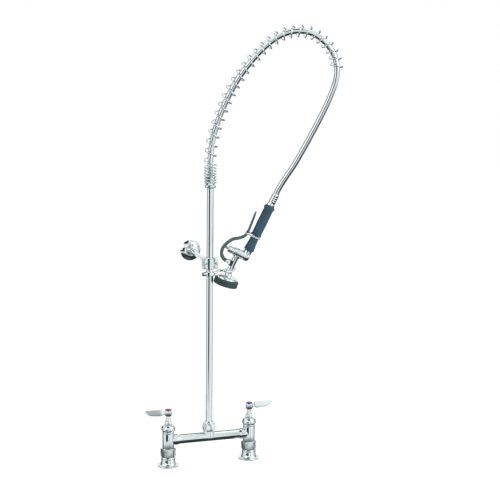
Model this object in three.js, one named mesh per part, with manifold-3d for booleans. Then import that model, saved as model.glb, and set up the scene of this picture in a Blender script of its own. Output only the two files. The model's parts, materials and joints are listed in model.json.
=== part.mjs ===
// Pre rinse faucet: bridge base, riser, wall bracket, overbend spring, hose and squeeze spray valve.
// Millimetres, +Z up. The origin is on the deck, midway between the two inlets and under the riser;
// +X points to the cold side, -Y to the user and +Y to the wall.
import * as THREE from "three";
import { mergeVertices } from "three/addons/utils/BufferGeometryUtils.js";
import Module from "manifold-3d";

const wasm = await Module();
wasm.setup();

// ---- Driving dimensions ----
const GAP = 0.3; // air between two pieces that touch
const INLET_CENTRES = 203.2;

const DECK_FLANGE = { radius: 25.4, rim: 3, collarRadius: 17.6, height: 23, inletRadius: 10.3 };
const TAILPIECE = { radius: 12.2, height: 5 }; // nipple of the deck flange inside the coupling nut
const COUPLING_NUT = { wall: 2.7, height: 21, lip: 3, chamfer: 2.2 };
const UNION_WASHER = { thickness: 2, inset: 0.4 };
const VALVE_BODY = { radius: 14.7, nippleStep: 1.5, chamberWall: 4.1, top: 86, seatLedge: 50, edge: 0.8 };
const WATERWAY = 8;
const VALVE_SEAT = { height: 5, boreRadius: 5 };
const BONNET = { overhang: 2.7, height: 16, skirt: 5.5, shoulderRadius: 10, thread: 13, boreRadius: 6.3 };
const PACKING_NUT = { acrossFlats: 16.4, height: 9.6, chamfer: 1.2 };
const STEM = { radius: 5.5, length: 21, splineRadius: 3.8, splineLength: 8, driveBore: 3.5, driveGap: 2 };
const VALVE_DISC = { radius: 7.6, thickness: 5, rodRadius: 3, rodLength: 11 };
const SEAT_WASHER = { radius: 7.2, thickness: 1.8 };
const LEVER = { hubRadius: 8.8, hubHeight: 14, reach: 59, rise: 3, depth: 15.5, neck: 9.5, thickness: 5.2 };
const INDEX_CAP = { radius: 6.6, recess: 2, lap: 1.4, rim: 1.6, crown: 1.2 };
const HANDLE_SCREW = { headRadius: 4, headHeight: 2.4, shankRadius: 1.8, shankLength: 6 };

const BRIDGE = { axisHeight: 63.6, radius: 11.4, boreRadius: 7.5, flareRadius: 13, flareLength: 14 };
const RISER = { radius: 8.3, wall: 2, collar: 2.9, collarHeight: 4, top: 690 };
const BOSS = { nippleWall: 0.4, shoulder: 2.2, edge: 1, foot: 6.6, top: 80, nippleTop: 90 };
const RISER_NUT = { wall: 2.5, height: 22, crownHeight: 13, topWall: 1.9 };
const RISER_WASHER = { thickness: 2, inset: 0.2 };

const WALL = { distance: 152.4, radius: 25.4, rim: 3, socketDepth: 3.6, collarRadius: 8.6, collarLength: 15 };
const BRACKET = { belowTop: 201.5, armRadius: 6 }; // the arm's height under the top of the riser
const CLAMP = { wall: 4, width: 38, height: 26.5, plate: 6.5, bossRadius: 9.4, bossLength: 9, chamfer: 1.5 };
const CLAMP_SCREW = { clearance: 1.8, headRadius: 3.4, headHeight: 2.6, shankRadius: 2, slot: 1, past: 2.5 };
const SET_SCREW = { radius: 2, inset: 2.5, fromEnd: 4 };

const ARCH_ANGLE = -18; // degrees from +X towards the user
const HOOK = { belowTop: 231, wall: 4.4, ringHeight: 9.5, armDepth: 6, armWidth: 8, tineWidth: 4.2 };
const HOOK_LAYOUT = { crotch: 35.5, tineEnd: 52, tipReach: 61.5, tipRise: 7, tineGap: 16.4, tipShare: 0.48 };
const HOOK_BOSS = { angle: 215, radius: 5, length: 11.7 };

const SPRING_SEAT = { lap: 21, height: 7, edge: 2.5 }; // lap is how far its foot is below the riser's top
const HOSE_NUT = { wall: 1.4, height: 22, chamfer: 1.5 };
const HOSE = { radius: 7, sides: 10, steps: 44, boreRadius: 5 };
// Hose centreline in the arch plane: distance from the riser's axis, height over the riser's top
const HOSE_ROUTE = [
  [0, 12.5],
  [0, 45],
  [2, 74],
  [8, 106],
  [18, 139],
  [31, 173],
  [49, 211],
  [70, 246],
  [95, 279],
  [125, 311],
  [159, 336],
  [197, 347],
  [232, 342],
  [261, 323],
  [282, 296],
  [291, 265],
  [289, 232],
  [277, 196],
  [260, 157],
  [240, 117],
  [219, 77],
  [197, 37],
  [175, 3],
];
const HOSE_END = 14; // straight stretch over the ferrule
const SPRING = { clearance: 0.753, wireRadius: 1.6, closedPitch: 6.8, closedTurns: 6.5 };
const SPRING_OPEN = { firstPitch: 23.5, lastPitch: 17.5, end: 582 };
const SPRING_DETAIL = { wireSides: 4, stepsPerTurn: 11 };

const SPRAY = { clearance: 82.7, belowTop: 170, tilt: 25 }; // lower end of the grip, and the grip's lean
const GRIP = { length: 118, radius: 11.4, swell: 0.4, flangeRadius: 13.2, tubeRadius: 7.4, tubeBore: 4.5 };
const LOWER_GRIP = { length: 33, bottomRadius: 12.3, topRadius: 9.8 };
const GRIP_GROOVE = { length: 6.4 }; // between the lower and the upper grip, where the hold ring lies
const FERRULE = { length: 31, radius: 8.9, flangeRadius: 9.8, neck: 0.6 };
const SPRAY_BODY = { drop: 16, radius: 10.5, front: -27, back: 9, chamberRadius: 6.6, inletRadius: 9.6 };
const CHAMBER_BACK = -5;
const OUTLET = { wall: 0.8, shift: 1, length: 2.5 };
const SPRAY_BONNET = { flangeRadius: 10.2, flange: 4, capRadius: 8.4, capLength: 14 };
const PLUNGER = { radius: 3, tip: 7, length: 38, collarRadius: 5.6, collar: 3, collarOffset: 3 };
const PLUNGER_SPRING = { radius: 4.7, wireRadius: 0.6, turns: 6, steps: 10, wireSides: 4 };
const NECK = { offset: -20, radius: 6.9, boreRadius: 3.6 };
const HEAD = { offset: -15.3, drop: 92, lean: -8, hubRadius: 8.4, hubTop: 23 };
const BUMPER = { radius: 29, thickness: 15, innerRadius: 23.6, round: 2.4, lip: 3, lipDepth: 2 };
const SHELL = { overhang: 1.7, wall: 2 };
const FACE = { thickness: 2.4, holes: 10, holeRadius: 1.1, holeCircle: 13, centreRadius: 2.2, depth: 3 };
const FACE_SCREW = { headRadius: 3.6, headHeight: 2, shankRadius: 1.8, shankLength: 9 };
const PIVOT = { x: -33, z: -45.7, pinRadius: 1.9, pinHalf: 7.2, earRadius: 5.4, earThickness: 3 };
const SPRAY_LEVER = { width: 12, rootWidth: 6.4, rootThickness: 9, barThickness: 7.5, tipThickness: 4.6 };
// Centreline of the squeeze lever, in the spray valve's frame: across the grip, along the grip
const LEVER_LINE = [
  [-33, -45.7],
  [-45.5, -43],
  [-54.5, -34],
  [-57.3, -22],
  [-53.6, -6.8],
  [-45, 8],
  [-32.2, 17.5],
  [-22.8, 28],
  [-20.6, 38],
  [-21.8, 62],
  [-24.4, 93],
];
const HOLD_RING = { wireRadius: 1.3, height: 36.4, left: -26.2, right: 12.2, halfWidth: 15.5 };

// ---- Sizes that follow from those ----
const nippleRadius = VALVE_BODY.radius - VALVE_BODY.nippleStep;
const chamberRadius = VALVE_BODY.radius - VALVE_BODY.chamberWall;
const couplingFlats = 2 * (nippleRadius + GAP + COUPLING_NUT.wall);
const bonnetRadius = VALVE_BODY.radius + BONNET.overhang;
const riserBore = RISER.radius + GAP; // any bore that goes over the riser
const riserCollar = RISER.radius + RISER.collar;
const bossNipple = riserCollar + BOSS.nippleWall;
const bossRadius = bossNipple + BOSS.shoulder;
const riserNutFlats = 2 * (bossNipple + RISER_NUT.wall);
const hookRing = riserBore + HOOK.wall;
const hookBottom = RISER.top - HOOK.belowTop;
const bulgeRadius = riserBore + CLAMP.wall;
const clampScrewOffset = bulgeRadius + CLAMP_SCREW.clearance;
const hoseNutFlats = 2 * (riserBore + HOSE_NUT.wall);
const springRadius = hoseNutFlats / 2 / Math.cos(Math.PI / 6) + SPRING.clearance + SPRING.wireRadius;
const springSeatRadius = springRadius + GAP;
const springSeatBottom = RISER.top - SPRING_SEAT.lap;
const sprayReach = RISER.radius + SPRAY.clearance; // from the riser's axis
const domeRadius = BUMPER.innerRadius + SHELL.overhang;

// ---- Finishes ----
const finish = (color, roughness, metalness) =>
  new THREE.MeshStandardMaterial({ color, roughness, metalness });
const CHROME = finish(0xd5dcde, 0.12, 1);
const STEEL = finish(0xb9c0c2, 0.3, 1);
const BRASS = finish(0xb08d4c, 0.35, 1);
const RUBBER = finish(0x33434a, 0.6, 0);
const FIBRE = finish(0x7d5b48, 0.9, 0);
const GRIP_GREY = finish(0x3f5a6c, 0.4, 0);
const LEVER_GREY = finish(0x4a6366, 0.45, 0);
const HOT_RED = finish(0xa01c3e, 0.3, 0);
const COLD_BLUE = finish(0x2a37a0, 0.3, 0);

// ---- Geometry helpers ----
const radians = THREE.MathUtils.degToRad;
const SMOOTH = 20; // sides of an outer round shape
const PLAIN = 12; // sides of an inner round shape

// A closed three.js geometry as a solid that can be cut and joined.
function solid(geometry) {
  const bare = geometry.index ? geometry.toNonIndexed() : geometry.clone();
  bare.deleteAttribute("normal");
  bare.deleteAttribute("uv");
  const merged = mergeVertices(bare, 1e-4);
  const make = (order) =>
    new wasm.Manifold(
      new wasm.Mesh({
        numProp: 3,
        vertProperties: merged.attributes.position.array,
        triVerts: new Uint32Array(order(Array.from(merged.index.array))),
      }),
    );
  const made = make((list) => list);
  return made.volume() < 0 ? make((list) => list.reverse()) : made;
}

function geometryOf(made) {
  const mesh = made.getMesh();
  const positions = new THREE.BufferAttribute(new Float32Array(mesh.vertProperties), 3);
  const indexed = new THREE.BufferGeometry()
    .setAttribute("position", positions)
    .setIndex(new THREE.BufferAttribute(new Uint32Array(mesh.triVerts), 1));
  const flat = indexed.toNonIndexed();
  flat.computeVertexNormals();
  return flat;
}

const vectors = (pairs) => pairs.map(([x, y]) => new THREE.Vector2(x, y));

// Turned shape about +Z: a closed outline of [radius, height] pairs.
function turned(outline, segments = SMOOTH) {
  const closed = [...outline, outline[0]];
  return solid(new THREE.LatheGeometry(vectors(closed), segments).rotateX(Math.PI / 2));
}

const rod = (radius, from, to, segments = PLAIN) =>
  turned([[0, from], [radius, from], [radius, to], [0, to]], segments);

const sleeve = (outer, inner, from, to, segments = PLAIN) =>
  turned([[inner, from], [outer, from], [outer, to], [inner, to]], segments);

const alongX = (made) => made.rotate([0, 90, 0]);
const alongY = (made) => made.rotate([-90, 0, 0]);

function prism(outline, from, to, curveSegments = 8) {
  const shape = Array.isArray(outline) ? new THREE.Shape(vectors(outline)) : outline;
  const options = { depth: to - from, bevelEnabled: false, curveSegments };
  return solid(new THREE.ExtrudeGeometry(shape, options).translate(0, 0, from));
}

const roundOutline = (radius, sides) =>
  Array.from({ length: sides }, (_, i) => {
    const angle = (i / sides) * 2 * Math.PI;
    return [radius * Math.cos(angle), radius * Math.sin(angle)];
  });

// Hexagon with its corners turned off at the top and the bottom.
function hexagon(acrossFlats, from, to, chamfer) {
  const corner = acrossFlats / 2 / Math.cos(Math.PI / 6);
  const flat = acrossFlats / 2;
  const turnedOff = turned([
    [0, from],
    [flat, from],
    [corner, from + chamfer],
    [corner, to - chamfer],
    [flat, to],
    [0, to],
  ]);
  return prism(roundOutline(corner * 1.001, 6), from, to).intersect(turnedOff);
}

// Solid swept along a curve; bore makes it a tube.
function swept(curve, radius, sides, steps, bore = 0) {
  const shape = new THREE.Shape(vectors(roundOutline(radius, sides)));
  if (bore) shape.holes.push(new THREE.Path(vectors(roundOutline(bore, sides).reverse())));
  return solid(new THREE.ExtrudeGeometry(shape, { steps, extrudePath: curve, bevelEnabled: false }));
}

const inPlane = (pairs) => pairs.map(([x, z]) => new THREE.Vector3(x, 0, z));
const smooth = (points) => new THREE.CatmullRomCurve3(points, false, "centripetal");

// Points at each side of a flat line, half a thickness away; thickness may change along it.
function ribbon(pairs, thicknessAt, samples) {
  const curve = new THREE.SplineCurve(vectors(pairs));
  const left = [];
  const right = [];
  for (let i = 0; i <= samples; i++) {
    const t = i / samples;
    const point = curve.getPoint(t);
    const tangent = curve.getTangent(t);
    const half = thicknessAt(t) / 2;
    left.push([point.x - tangent.y * half, point.y + tangent.x * half]);
    right.push([point.x + tangent.y * half, point.y - tangent.x * half]);
  }
  return [...left, ...right.reverse()];
}

// Outline in X and Z made a plate of the given width, centred on y = 0.
function plate(outline, width) {
  return prism(outline.map(([x, z]) => [x, -z]), -width / 2, width / 2).rotate([-90, 0, 0]);
}

function mesh(name, made, material) {
  const piece = new THREE.Mesh(geometryOf(made), material);
  piece.name = name;
  return piece;
}

// ---- Inlets and valves ----
const nippleTop = DECK_FLANGE.height + TAILPIECE.height;
const bodyBottom = nippleTop + GAP + UNION_WASHER.thickness + GAP;
const nutBottom = DECK_FLANGE.height + GAP;
const nutTop = nutBottom + COUPLING_NUT.height;
const bonnetBottom = VALVE_BODY.top + GAP;
const bonnetTop = bonnetBottom + BONNET.height;
const packingBottom = bonnetTop + GAP;
const packingTop = packingBottom + PACKING_NUT.height;
const stemTop = bonnetTop + STEM.length;
const seatTop = VALVE_BODY.seatLedge + GAP + VALVE_SEAT.height;
const seatWasherTop = seatTop + GAP + SEAT_WASHER.thickness;
const discRodTop = seatWasherTop + GAP + VALVE_DISC.thickness + VALVE_DISC.rodLength;
const stemBottom = BRIDGE.axisHeight + STEM.driveGap;
const hubTop = stemTop + LEVER.hubHeight;
const capFloor = hubTop - INDEX_CAP.recess;

function deckFlange() {
  const { radius, rim, collarRadius, height, inletRadius } = DECK_FLANGE;
  const bellHeight = height * 0.45;
  const steps = 5;
  const bell = [[radius, 0], [radius, rim]];
  for (let i = 1; i <= steps; i++) {
    const angle = (i / steps) * (Math.PI / 2);
    const across = (radius - collarRadius) * Math.sin(angle);
    bell.push([radius - across, rim + bellHeight * (1 - Math.cos(angle))]);
  }
  return turned([
    [inletRadius, 0],
    ...bell,
    [collarRadius, height - 2],
    [collarRadius - 1.5, height],
    [TAILPIECE.radius, height],
    [TAILPIECE.radius, nippleTop],
    [inletRadius, nippleTop],
  ]);
}

function couplingNut() {
  const { lip, chamfer } = COUPLING_NUT;
  const throat = rod(TAILPIECE.radius + GAP, nutBottom - 1, nutBottom + lip, SMOOTH);
  const socket = rod(nippleRadius + GAP, nutBottom + lip, nutTop + 1, SMOOTH);
  return hexagon(couplingFlats, nutBottom, nutTop, chamfer).subtract(throat).subtract(socket);
}

function unionWasher() {
  const bottom = nippleTop + GAP;
  return sleeve(nippleRadius - UNION_WASHER.inset, WATERWAY, bottom, bottom + UNION_WASHER.thickness);
}

function valveBody(towardsBridge) {
  const { radius, top, seatLedge, edge } = VALVE_BODY;
  const shell = turned([
    [WATERWAY, bodyBottom],
    [nippleRadius, bodyBottom],
    [nippleRadius, nutTop + GAP],
    [radius - edge, nutTop + GAP],
    [radius, nutTop + GAP + edge],
    [radius, top - edge],
    [radius - edge, top],
    [chamberRadius, top],
    [chamberRadius, seatLedge],
    [WATERWAY, seatLedge],
  ]);
  const port = alongX(rod(BRIDGE.boreRadius, 0, radius * 2))
    .scale([towardsBridge, 1, 1])
    .translate([0, 0, BRIDGE.axisHeight]);
  return shell.subtract(port);
}

function valveSeat() {
  return sleeve(chamberRadius - GAP, VALVE_SEAT.boreRadius, VALVE_BODY.seatLedge + GAP, seatTop);
}

function bonnet() {
  const { height, skirt, shoulderRadius, thread: threadLength, boreRadius } = BONNET;
  const thread = chamberRadius - GAP;
  const steps = 6;
  const dome = [];
  for (let i = 0; i <= steps; i++) {
    const angle = (i / steps) * (Math.PI / 2);
    dome.push([
      shoulderRadius + (bonnetRadius - shoulderRadius) * Math.cos(angle),
      bonnetBottom + skirt + (height - skirt) * Math.sin(angle) ** 1.2,
    ]);
  }
  return turned([
    [boreRadius, bonnetBottom - threadLength],
    [thread, bonnetBottom - threadLength],
    [thread, bonnetBottom],
    [VALVE_BODY.radius, bonnetBottom],
    [bonnetRadius - 0.6, bonnetBottom + 3],
    ...dome,
    [boreRadius, bonnetTop],
  ]);
}

function packingNut() {
  const nut = hexagon(PACKING_NUT.acrossFlats, packingBottom, packingTop, PACKING_NUT.chamfer);
  return nut.subtract(rod(STEM.radius + GAP, packingBottom - 1, packingTop + 1));
}

function stem() {
  const { radius, splineRadius, splineLength, driveBore } = STEM;
  const driveTop = discRodTop + 2;
  const shaft = turned([
    [0, driveTop],
    [driveBore, driveTop],
    [driveBore, stemBottom],
    [radius, stemBottom],
    [radius, stemTop],
    [splineRadius, stemTop],
    [splineRadius, stemTop + splineLength],
    [0, stemTop + splineLength],
  ]);
  const tapped = rod(HANDLE_SCREW.shankRadius + GAP, stemTop + 1, stemTop + splineLength + 1);
  return shaft.subtract(tapped);
}

function valveDisc() {
  const { radius, thickness, rodRadius } = VALVE_DISC;
  const bottom = seatWasherTop + GAP;
  return rod(radius, bottom, bottom + thickness).add(rod(rodRadius, bottom + thickness / 2, discRodTop));
}

function leverHandle() {
  const { hubRadius, reach, rise, depth, neck, thickness } = LEVER;
  const hubBottom = stemTop + GAP;
  const hub = turned([
    [0, hubBottom],
    [hubRadius - 1.4, hubBottom],
    [hubRadius, hubBottom + 1.6],
    [hubRadius, hubTop - 0.8],
    [hubRadius - 0.8, hubTop],
    [0, hubTop],
  ]);
  const top = hubTop + rise;
  const neckTop = hubTop - 1;
  const neckFoot = neckTop - neck;
  const blade = plate(
    [
      [0, neckTop],
      [hubRadius + 0.8, neckTop],
      [reach * 0.23, top - 0.8],
      [reach * 0.3, top],
      [reach * 0.9, top - 0.3],
      [reach, top - 1.8],
      [reach * 0.98, top - 3.6],
      [reach * 0.91, top - depth * 0.53],
      [reach * 0.82, top - depth * 0.79],
      [reach * 0.74, top - depth * 0.9],
      [reach * 0.6, top - depth * 0.96],
      [reach * 0.3, top - depth],
      [reach * 0.25, top - depth + 1.4],
      [hubRadius + 1, neckFoot],
      [0, neckFoot],
    ],
    thickness,
  );
  const socket = rod(STEM.splineRadius + GAP, stemTop, stemTop + STEM.splineLength + GAP);
  const screwWay = rod(HANDLE_SCREW.shankRadius + GAP, stemTop, hubTop);
  const capSeat = rod(INDEX_CAP.radius + GAP, capFloor - HANDLE_SCREW.headHeight, hubTop + 1);
  return hub.add(blade).subtract(socket).subtract(screwWay).subtract(capSeat);
}

function indexCap() {
  const { radius, lap, rim, crown } = INDEX_CAP;
  const bottom = capFloor + GAP;
  const brim = hubTop + GAP;
  return turned([
    [0, bottom],
    [radius, bottom],
    [radius, brim],
    [radius + lap, brim],
    [radius + lap, brim + rim],
    [radius, brim + rim + crown * 0.7],
    [0, brim + rim + crown],
  ]);
}

function handleScrew() {
  const { headRadius, headHeight, shankRadius, shankLength } = HANDLE_SCREW;
  const seat = capFloor - headHeight;
  const head = rod(headRadius, seat + GAP, capFloor);
  return head.add(rod(shankRadius, seat - shankLength, seat + headHeight / 2));
}

function valve(side, centre, leverDirection, capMaterial) {
  const named = (name) => side + "_" + name;
  const handle = new THREE.Group();
  handle.rotation.z = leverDirection;
  handle.add(
    mesh(named("stem"), stem(), CHROME),
    mesh(named("valve_disc"), valveDisc(), BRASS),
    mesh(named("seat_washer"), rod(SEAT_WASHER.radius, seatTop + GAP, seatWasherTop), RUBBER),
    mesh(named("lever_handle"), leverHandle(), CHROME),
    mesh(named("index_cap"), indexCap(), capMaterial),
    mesh(named("handle_screw"), handleScrew(), STEEL),
  );
  const group = new THREE.Group();
  group.add(
    mesh(named("deck_flange"), deckFlange(), CHROME),
    mesh(named("coupling_nut"), couplingNut(), CHROME),
    mesh(named("union_washer"), unionWasher(), FIBRE),
    mesh(named("valve_body"), valveBody(-Math.sign(centre)), CHROME),
    mesh(named("valve_seat"), valveSeat(), BRASS),
    mesh(named("bonnet"), bonnet(), CHROME),
    mesh(named("packing_nut"), packingNut(), CHROME),
    handle,
  );
  group.position.x = centre;
  return group;
}

// ---- Bridge and riser ----
const riserNutBottom = BOSS.top + GAP;
const riserNutTop = riserNutBottom + RISER_NUT.height;
const riserWasherBottom = BOSS.nippleTop + GAP;
const riserBottom = riserWasherBottom + RISER_WASHER.thickness + GAP;

function bridgeBody() {
  const { axisHeight, radius, boreRadius, flareRadius, flareLength } = BRIDGE;
  const half = INLET_CENTRES / 2;
  const flareStart = half - VALVE_BODY.radius - flareLength;
  const flareEnd = flareStart + flareLength * 0.6;
  const bar = turned([
    [0, -half],
    [flareRadius, -half],
    [flareRadius, -flareEnd],
    [radius, -flareStart],
    [radius, flareStart],
    [flareRadius, flareEnd],
    [flareRadius, half],
    [0, half],
  ]);
  const bossBottom = axisHeight - BOSS.foot;
  const boss = turned([
    [0, bossBottom],
    [radius - 3.6, bossBottom],
    [bossRadius - 2.2, bossBottom + 2.4],
    [bossRadius, bossBottom + 6],
    [bossRadius, BOSS.top - BOSS.edge * 2],
    [bossRadius - BOSS.edge, BOSS.top],
    [bossNipple, BOSS.top],
    [bossNipple, BOSS.nippleTop],
    [0, BOSS.nippleTop],
  ]);
  const wayAcross = alongX(rod(boreRadius, -half, half)).translate([0, 0, axisHeight]);
  const wayUp = rod(boreRadius, axisHeight, BOSS.nippleTop + 1);
  const valveWall = rod(VALVE_BODY.radius + GAP, 0, VALVE_BODY.top, SMOOTH);
  const cuts = [wayAcross, wayUp, valveWall.translate([-half, 0, 0]), valveWall.translate([half, 0, 0])];
  const body = alongX(bar).translate([0, 0, axisHeight]).add(boss);
  return cuts.reduce((made, cut) => made.subtract(cut), body);
}

function riserNut() {
  const { topWall, crownHeight } = RISER_NUT;
  const flat = riserNutFlats / 2;
  const corner = flat / Math.cos(Math.PI / 6);
  const crown = riserNutBottom + crownHeight;
  const topRadius = RISER.radius + topWall;
  const outer = turned([
    [0, riserNutBottom],
    [flat - 1.2, riserNutBottom],
    [corner, riserNutBottom + 4],
    [corner, crown],
    [flat - 0.6, crown + 3.5],
    [topRadius + 0.8, riserNutTop - 1.2],
    [topRadius, riserNutTop],
    [0, riserNutTop],
  ]);
  const collarTop = riserBottom + RISER.collarHeight + GAP;
  return prism(roundOutline(corner, 6), riserNutBottom, riserNutTop)
    .intersect(outer)
    .subtract(rod(bossNipple + GAP, riserNutBottom - 1, collarTop, SMOOTH))
    .subtract(rod(riserBore, riserNutBottom, riserNutTop + 1, SMOOTH));
}

function riserTube() {
  const { radius, wall, collarHeight, top } = RISER;
  return turned([
    [radius - wall, riserBottom],
    [riserCollar, riserBottom],
    [riserCollar, riserBottom + collarHeight],
    [radius, riserBottom + collarHeight],
    [radius, top],
    [radius - wall, top],
  ]);
}

function riserWasher() {
  const { thickness, inset } = RISER_WASHER;
  const bore = RISER.radius - RISER.wall;
  return sleeve(riserCollar - inset, bore, riserWasherBottom, riserWasherBottom + thickness);
}

function bridge() {
  const group = new THREE.Group();
  group.add(
    mesh("bridge_body", bridgeBody(), CHROME),
    mesh("riser_nut", riserNut(), CHROME),
    mesh("riser_washer", riserWasher(), FIBRE),
    mesh("riser_tube", riserTube(), CHROME),
  );
  return group;
}

// ---- Wall bracket: built along +Y at the arm's height ----
function wallFlange() {
  const { distance, radius, rim, socketDepth, collarRadius, collarLength } = WALL;
  const socket = BRACKET.armRadius + GAP;
  const dish = turned([
    [0, distance - socketDepth],
    [socket, distance - socketDepth],
    [socket, distance - collarLength],
    [collarRadius, distance - collarLength],
    [collarRadius, distance - rim * 2.6],
    [collarRadius + 5, distance - rim * 2.2],
    [radius - 3, distance - rim * 1.2],
    [radius, distance - rim * 0.5],
    [radius, distance],
    [0, distance],
  ]);
  return dish.subtract(bracketScrewHole(SET_SCREW.radius + GAP, 0, collarRadius + 2));
}

function bracketScrewHole(radius, from, to) {
  const along = WALL.distance - WALL.collarLength + SET_SCREW.fromEnd;
  return rod(radius, from, to).rotate([0, -90, 0]).translate([0, 0, along]);
}

// One half of the clamp: the outline seen from above has its mating face at y = GAP / 2.
function clampHalf() {
  const { width, height, plate: depth, chamfer } = CLAMP;
  const half = width / 2;
  const spread = Math.asin(depth / bulgeRadius);
  const shape = new THREE.Shape();
  shape.moveTo(-half, GAP / 2);
  shape.lineTo(-half, depth - chamfer);
  shape.lineTo(-half + chamfer, depth);
  shape.lineTo(-bulgeRadius * Math.cos(spread), depth);
  shape.absarc(0, 0, bulgeRadius, Math.PI - spread, spread, true);
  shape.lineTo(half - chamfer, depth);
  shape.lineTo(half, depth - chamfer);
  shape.lineTo(half, GAP / 2);
  shape.lineTo(riserBore, GAP / 2);
  shape.absarc(0, 0, riserBore, 0, Math.PI, false);
  const hole = alongY(rod(CLAMP_SCREW.shankRadius + GAP, -depth, depth * 2));
  return prism(shape, -height / 2, height / 2, PLAIN)
    .subtract(hole.translate([-clampScrewOffset, 0, 0]))
    .subtract(hole.translate([clampScrewOffset, 0, 0]));
}

function clampRear() {
  const bossEnd = bulgeRadius + CLAMP.bossLength - 2;
  const boss = alongY(rod(CLAMP.bossRadius, bulgeRadius - 3, bossEnd, SMOOTH));
  const socket = alongY(rod(BRACKET.armRadius + GAP, bulgeRadius - 1, bossEnd + 1, SMOOTH));
  return clampHalf().add(boss).subtract(socket);
}

function clampScrew() {
  const { headRadius, headHeight, shankRadius, slot, past } = CLAMP_SCREW;
  const seat = -CLAMP.plate - GAP;
  const head = turned(
    [
      [0, seat - headHeight],
      [headRadius - 1, seat - headHeight],
      [headRadius, seat - 1],
      [headRadius, seat],
      [0, seat],
    ],
    PLAIN,
  );
  const groove = prism(
    [
      [-slot / 2, -headRadius],
      [slot / 2, -headRadius],
      [slot / 2, headRadius],
      [-slot / 2, headRadius],
    ],
    seat - headHeight - 1,
    seat - headHeight + 1,
  );
  return alongY(head.subtract(groove).add(rod(shankRadius, seat - 1, CLAMP.plate + past)));
}

function wallBracket() {
  const arm = rod(BRACKET.armRadius, bulgeRadius - 0.7, WALL.distance - WALL.socketDepth - GAP, SMOOTH);
  const setScrew = bracketScrewHole(SET_SCREW.radius, BRACKET.armRadius + GAP, WALL.collarRadius + 1.5);
  const group = new THREE.Group();
  group.add(
    mesh("wall_flange", alongY(wallFlange()), CHROME),
    mesh("bracket_arm", alongY(arm), CHROME),
    mesh("bracket_set_screw", alongY(setScrew), STEEL),
    mesh("clamp_rear", clampRear(), CHROME),
    mesh("clamp_front", clampHalf().rotate([0, 0, 180]), CHROME),
    mesh("clamp_screw_left", clampScrew().translate([-clampScrewOffset, 0, 0]), STEEL),
    mesh("clamp_screw_right", clampScrew().translate([clampScrewOffset, 0, 0]), STEEL),
  );
  group.position.z = RISER.top - BRACKET.belowTop;
  return group;
}

// ---- Finger hook ----
function hookScrewRod(radius, from, to) {
  return alongX(rod(radius, from, to))
    .rotate([0, 0, HOOK_BOSS.angle])
    .translate([0, 0, hookBottom + HOOK.ringHeight / 2]);
}

function fingerHook() {
  const { ringHeight, armDepth, armWidth, tineWidth } = HOOK;
  const { crotch, tineEnd, tipReach, tipRise, tineGap, tipShare } = HOOK_LAYOUT;
  const bottom = hookBottom;
  const armBottom = bottom + ringHeight - 0.5;
  const armTop = armBottom + armDepth;
  const armMiddle = armBottom + armDepth / 2;
  const ring = sleeve(hookRing, riserBore, bottom, bottom + ringHeight, SMOOTH);
  const arm = plate(
    [
      [hookRing - 3, bottom + 4],
      [hookRing + 2, bottom + 4],
      [hookRing + 8, armBottom],
      [crotch - 2, armBottom],
      [crotch - 2, armTop],
      [hookRing + 4, armTop],
      [hookRing - 3, bottom + ringHeight],
    ],
    armWidth,
  );
  const outside = tineGap / 2 + tineWidth;
  const yoke = prism(
    [
      [crotch - 10, -armWidth / 2],
      [crotch, -outside],
      [crotch + 4, -outside],
      [crotch + 4, outside],
      [crotch, outside],
      [crotch - 10, armWidth / 2],
    ],
    armBottom,
    armTop,
  );
  const throat = rod(tineGap / 2, bottom, armTop + 1, SMOOTH).translate([crotch + tineGap / 2, 0, 0]);
  const tineLine = [
    [crotch + 2, armMiddle],
    [tineEnd - 4, armMiddle],
    [tineEnd + 4, armMiddle + tipRise * 0.25],
    [tipReach, armMiddle + tipRise],
  ];
  const thickness = (t) => THREE.MathUtils.lerp(armDepth, armDepth * tipShare, t);
  const tine = plate(ribbon(tineLine, thickness, 8), tineWidth);
  const out = (tineGap + tineWidth) / 2;
  const bossEnd = RISER.radius + HOOK_BOSS.length;
  return ring
    .add(arm)
    .add(yoke.subtract(throat))
    .add(tine.translate([0, out, 0]))
    .add(tine.translate([0, -out, 0]))
    .add(hookScrewRod(HOOK_BOSS.radius, RISER.radius + 2, bossEnd))
    .subtract(hookScrewRod(SET_SCREW.radius + GAP, RISER.radius, bossEnd + 1))
    .subtract(rod(riserBore, bottom - 1, armTop + 1, SMOOTH));
}

const hookSetScrew = () =>
  hookScrewRod(SET_SCREW.radius, riserBore, RISER.radius + HOOK_BOSS.length - SET_SCREW.inset);

// ---- Hose and overbend spring ----
const hoseNutBottom = springSeatBottom + SPRING_SEAT.height + GAP;
const hoseNutTop = hoseNutBottom + HOSE_NUT.height;
const hoseStart = hoseNutTop + GAP;

// The hose's centreline: from the top of its nut to the top of the ferrule on the grip.
function hoseLine() {
  const tilt = radians(SPRAY.tilt);
  const ferruleTop = GRIP.length + GAP + FERRULE.length + GAP;
  const onGripAxis = (along) => [
    sprayReach + along * Math.sin(tilt),
    RISER.top - SPRAY.belowTop + along * Math.cos(tilt),
  ];
  const route = HOSE_ROUTE.slice(1).map(([x, above]) => [x, RISER.top + above]);
  const end = [onGripAxis(ferruleTop + HOSE_END), onGripAxis(ferruleTop)];
  return smooth(inPlane([[0, hoseStart], ...route, ...end]));
}

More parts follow.
